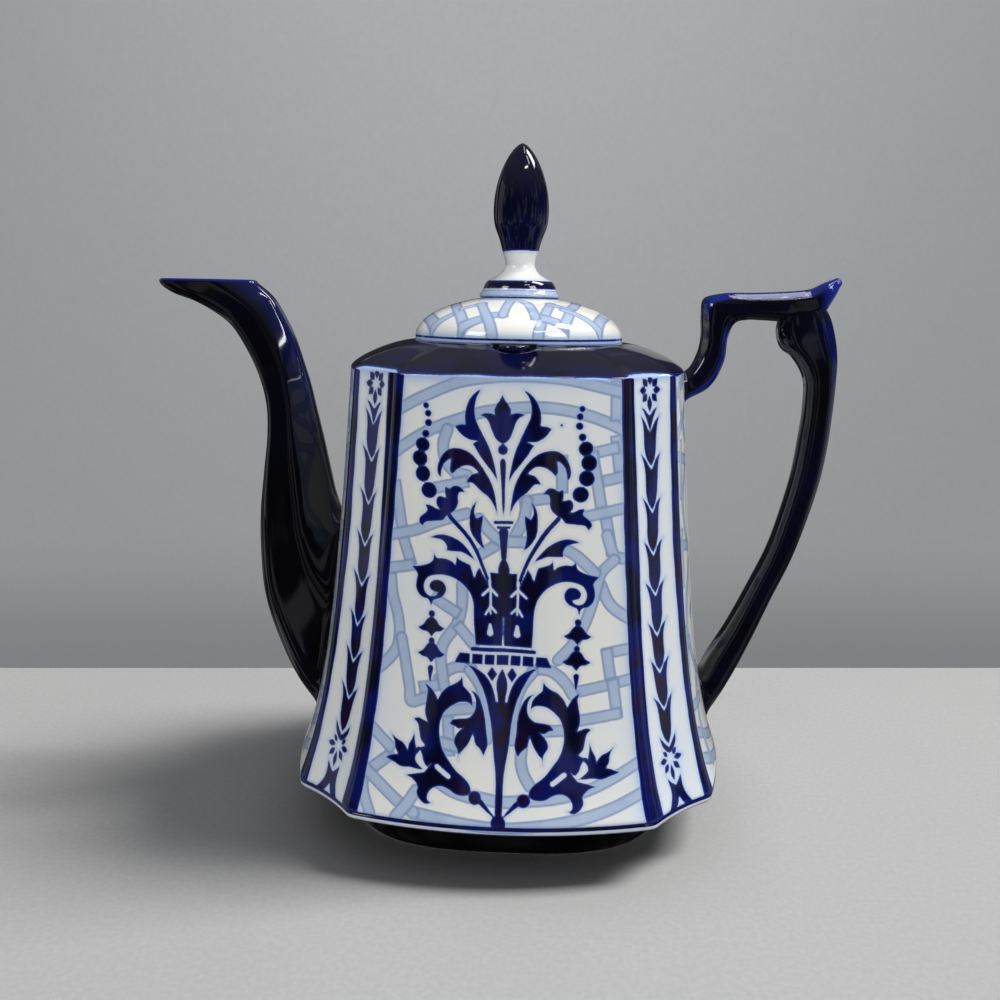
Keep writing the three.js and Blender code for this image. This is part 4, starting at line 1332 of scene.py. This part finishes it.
def no_bands(z):
    return dict(band=np.full(z.shape, -FAR), line=np.full(z.shape, FAR))


def build_lug():
    profile = [(4.2, SEAT_Z - 0.05), (4.9, SEAT_Z - 0.2), (5.2, SEAT_Z - 0.7), (5.2, 169.6), (5.0, 169.0),
               (4.4, 168.75)]
    grid = turned(profile, 72)
    grid[..., 1] += NOTCH["y"]
    return grid


lug_grid = build_lug()
lug_z = lug_grid[..., 2]
lug_paint = dict(cobalt=SEAT_Z + 1 - lug_z, **no_bands(lug_z))
piece = grid_piece("lug", lug_grid, PAINTED, caps=(0, 5), paint=lug_paint)
assign(piece, "lid", "white_glaze", "lid_lug")

COLLAR_PROFILE = [(5.3, 197.9), (5.75, 196.8), (6.8, 195.4), (8.6, 194.1), (10.3, 193.2), (11.4, 192.6),
                  (12.3, 191.6), (12.9, 190.4), (13.25, 189.3), (13.75, 188.5), (14.2, 187.9),
                  (14.42, 187.3), (14.3, 186.8), (13.9, 186.45)]


COLLAR_LINES = [(191.1, 1.45), (189.1, 0.1), (186.75, 0.22)]  # height and half width


def build_collar():
    grid = turned(curve_through(COLLAR_PROFILE, 90), 180)
    z = grid[..., 2]
    cobalt = np.maximum.reduce([half - np.abs(z - middle) for middle, half in COLLAR_LINES])
    band = 0.85 - np.abs(z - 188.1)
    return grid, dict(cobalt=clipped(cobalt), band=clipped(band), line=np.abs(z - 187.3) + 0.2)


collar_grid, collar_paint = build_collar()
piece = grid_piece("collar", collar_grid, PAINTED, paint=collar_paint)
assign(piece, "lid", "painted_porcelain", "lid_collar")

FINIAL_PROFILE = [(0.25, 239.95), (1.6, 239.2), (4.1, 236.5), (6.9, 231.4), (9, 224.8), (9.85, 217.8),
                  (9.4, 212), (7.6, 207), (6.5, 203.1), (5.6, 200.4), (5.25, 198.6), (5.3, 197.8)]


def build_finial():
    grid = turned(curve_through(FINIAL_PROFILE, 140), 180)
    angle = np.arctan2(grid[..., 1], grid[..., 0])
    z = grid[..., 2]
    edge = BUD_START + 0.25 * np.sin(angle + 0.5) + 0.12 * np.sin(3 * angle)
    return grid, dict(cobalt=clipped(z - edge), **no_bands(z))


finial_grid, finial_paint = build_finial()
piece = grid_piece("bud", finial_grid, PAINTED, caps=(0,), paint=finial_paint)
assign(piece, "lid", "cobalt_glaze", "finial")

# ------------------------------------------------------------------ stage

CAMERA_PLACE = Vector((0.0221, -0.3688, 0.18405))
PITCH = math.radians(11.026)
TURN = math.radians(2.146)
ROLL = math.radians(1.148)
CAMERA_SHIFT = -0.0155
LENS = 36                       # focal length, and the width of the sensor


def flat_card(name, corners, material):
    mesh = bpy.data.meshes.new(name)
    mesh.from_pydata(corners, [], [tuple(range(len(corners)))])
    mesh.materials.append(material)
    card = bpy.data.objects.new(name, mesh)
    bpy.context.scene.collection.objects.link(card)
    return card


def table_material():
    nodes = new_nodes("table")
    speckle = nodes.ramp(nodes.noise(520.0, 6.0), 0.25, 0.8)
    cloud = nodes.ramp(nodes.noise(9.0, 3.0), 0.3, 0.7)
    base = nodes.mix(speckle, srgb(216, 216, 216), srgb(226, 226, 227))
    base = nodes.mix(nodes.times(cloud, 0.25), base, srgb(206, 207, 208))
    nodes.feed(nodes.shader.inputs["Base Color"], base)
    nodes.adjust(Roughness=0.55, Specular_IOR_Level=0.3)
    return nodes.owner


def wall_material():
    """Self-lit plaster with painted light: lighter at the top middle, painted shade at the edges and near
    the table.
    """
    nodes = new_nodes("backdrop")
    nodes.tree.nodes.remove(nodes.shader)
    x, _, z = nodes.node("ShaderNodeSeparateXYZ", {0: nodes.place()}).outputs
    # Painted light falloff: brightest at the top middle, darker toward the edges.
    dx = nodes.times(x, 3.0)
    dz = nodes.times(nodes.math("SUBTRACT", z, 0.46), 2.2)
    square = nodes.math("ADD", nodes.times(dx, dx), nodes.times(dz, dz))
    far = nodes.ramp(nodes.math("SQRT", square), 0.0, 1.1)
    color = nodes.mix(far, srgb(178, 181, 183), srgb(148, 150, 152))
    # Painted shade along the foot of the wall, near the table.
    color = nodes.mix(nodes.ramp(z, 0.075, 0.0), color, srgb(128, 129, 131))
    grain = nodes.ramp(nodes.noise(420.0, 5.0), 0.2, 0.8)
    color = nodes.mix(nodes.times(grain, 0.07), color, srgb(110, 111, 112))
    glow = nodes.node("ShaderNodeEmission", {"Color": color, "Strength": 1.0}).outputs[0]
    clear = nodes.node("ShaderNodeBsdfTransparent").outputs[0]
    behind = nodes.node("ShaderNodeNewGeometry").outputs["Backfacing"]
    both = nodes.node("ShaderNodeMixShader", {0: behind, 1: glow, 2: clear}).outputs[0]
    nodes.feed(nodes.tree.nodes["Material Output"].inputs["Surface"], both)
    return nodes.owner


table_top = flat_card("table_top", [(-3, -3, 0), (3, -3, 0), (3, 3, 0), (-3, 3, 0)], table_material())
table_top.visible_glossy = False
wall_left = (-0.7, 0.0553)
wall_right = (0.7, 0.1869)
wall_corners = [(*wall_left, 0), (*wall_right, 0), (*wall_right, 0.8), (*wall_left, 0.8)]
backdrop = flat_card("plaster_wall", wall_corners, wall_material())
backdrop.visible_diffuse = False
backdrop.visible_glossy = False
backdrop.visible_transmission = False
backdrop.visible_shadow = False


def area_light(name, place, target, size, power, color=(1, 1, 1)):
    data = bpy.data.lights.new(name, "AREA")
    data.shape = "RECTANGLE"
    data.size, data.size_y = size
    data.energy = power
    data.color = color
    lamp = bpy.data.objects.new(name, data)
    aim = Vector(target) - Vector(place)
    lamp.location = place
    lamp.rotation_euler = aim.to_track_quat("-Z", "Y").to_euler()
    bpy.context.scene.collection.objects.link(lamp)
    return lamp


area_light("key", (3.2, 0.6, 4.6), (0, 0, 0.02), (1.5, 2.6), 232.0, (1, 0.99, 0.97))
pot_lights = [
    area_light("front_right", (1.15, -1.0, 1.25), (0, 0, 0.1), (0.6, 0.6), 13.0, (1, 0.99, 0.97)),
    area_light("front_left", (-1.15, -1.0, 1.1), (0, 0, 0.1), (0.6, 0.6), 11.5, (0.97, 0.985, 1)),
    area_light("strip", (0.42, -0.62, 1.15), (0, 0, 0.2), (0.3, 0.05), 1.2),
    area_light("overhead", (0.22, 0.02, 1.3), (0.05, 0, 0.2), (0.5, 0.1), 0.9),
    area_light("left_card", (-1.3, 0.15, 0.35), (0, 0, 0.15), (0.7, 0.9), 0.7),
]
bud_light = area_light("bud_light", (0.61, -0.33, 1.32), (0, 0, 0.2), (0.1, 0.3), 1.0)
spout_light = area_light("spout_light", (1.15, -1.0, 1.25), (0, 0, 0.1), (0.07, 0.7), 3.5)
bar_light = area_light("bar_light", (0.3, 0.0, 1.3), (0.09, 0, 0.2), (1.0, 0.1), 1.6)
lid_light = area_light("lid_light", (-0.8, -0.6, 1.0), (0, 0, 0.18), (0.5, 0.5), 1.2)
neck_light = area_light("neck_light", (0.2, -1.2, 0.5), (0, 0, 0.2), (0.6, 0.6), 8.0)
neck_light.visible_glossy = False


def light_only(lamps, wanted):
    """Let these lamps reach only the pieces whose names pass the test."""
    group = bpy.data.collections.new(lamps[0].name + "_reach")
    for thing in bpy.context.scene.collection.objects:
        if thing.type == "MESH" and thing.name not in ("table_top", "plaster_wall") and wanted(thing.name):
            group.objects.link(thing)
    for lamp in lamps:
        lamp.light_linking.receiver_collection = group


light_only(pot_lights[:2], lambda name: name not in ("bud", "spout_body"))
light_only(pot_lights[2:], lambda name: True)
light_only([bud_light, neck_light], lambda name: name == "bud")
light_only([spout_light], lambda name: name == "spout_body")
light_only([bar_light], lambda name: name.startswith("handle"))
light_only([lid_light], lambda name: name == "dome")


def room():
    """Dim studio with brighter patches low down, which the glaze reflects. The camera sees it plain."""
    sky = Nodes(bpy.data.worlds.new("studio"), "Background")
    direction = sky.place("Generated")
    _, y, z = sky.node("ShaderNodeSeparateXYZ", {0: direction}).outputs
    overhead = sky.ramp(z, 0.2, 0.8, 0.03, 0.2)
    stretched = sky.node("ShaderNodeMapping", {"Vector": direction, "Scale": (1.0, 1.0, 0.45)}).outputs[0]
    patches = sky.ramp(sky.noise(5.5, 4.0, stretched), 0.52, 0.6, 0.0, 0.34)
    behind = sky.ramp(y, -0.8, -0.45, 0.75, 1.0, "LINEAR")
    low = sky.ramp(z, 0.6, 0.3, 0.0, 1.0, "LINEAR")
    strength = sky.math("ADD", overhead, sky.times(patches, sky.times(behind, low)))
    seen = sky.node("ShaderNodeLightPath").outputs["Is Camera Ray"]
    sky.feed(sky.shader.inputs["Strength"], sky.ramp(seen, 0.0, 1.0, strength, 0.3, "LINEAR"))
    sky.adjust(Color=(0.97, 0.98, 1, 1))
    return sky.owner


bpy.context.scene.world = room()

camera_data = bpy.data.cameras.new("camera")
camera_data.lens = LENS
camera_data.sensor_width = LENS
camera_data.shift_x = CAMERA_SHIFT
camera_data.clip_start = 0.01
camera = bpy.data.objects.new("camera", camera_data)
forward = Vector((-math.sin(TURN), math.cos(TURN), 0))
right = Vector((math.cos(TURN), math.sin(TURN), 0))
up = Vector((0, 0, 1))
view = forward * math.cos(PITCH) - up * math.sin(PITCH)
head = up * math.cos(PITCH) + forward * math.sin(PITCH)
camera_x = right * math.cos(ROLL) + head * math.sin(ROLL)
camera_y = head * math.cos(ROLL) - right * math.sin(ROLL)
rotation = Matrix((camera_x, camera_y, -view)).transposed()
camera.matrix_world = Matrix.Translation(CAMERA_PLACE) @ rotation.to_4x4()
bpy.context.scene.collection.objects.link(camera)
bpy.context.scene.camera = camera
bpy.context.scene.view_settings.view_transform = "Standard"
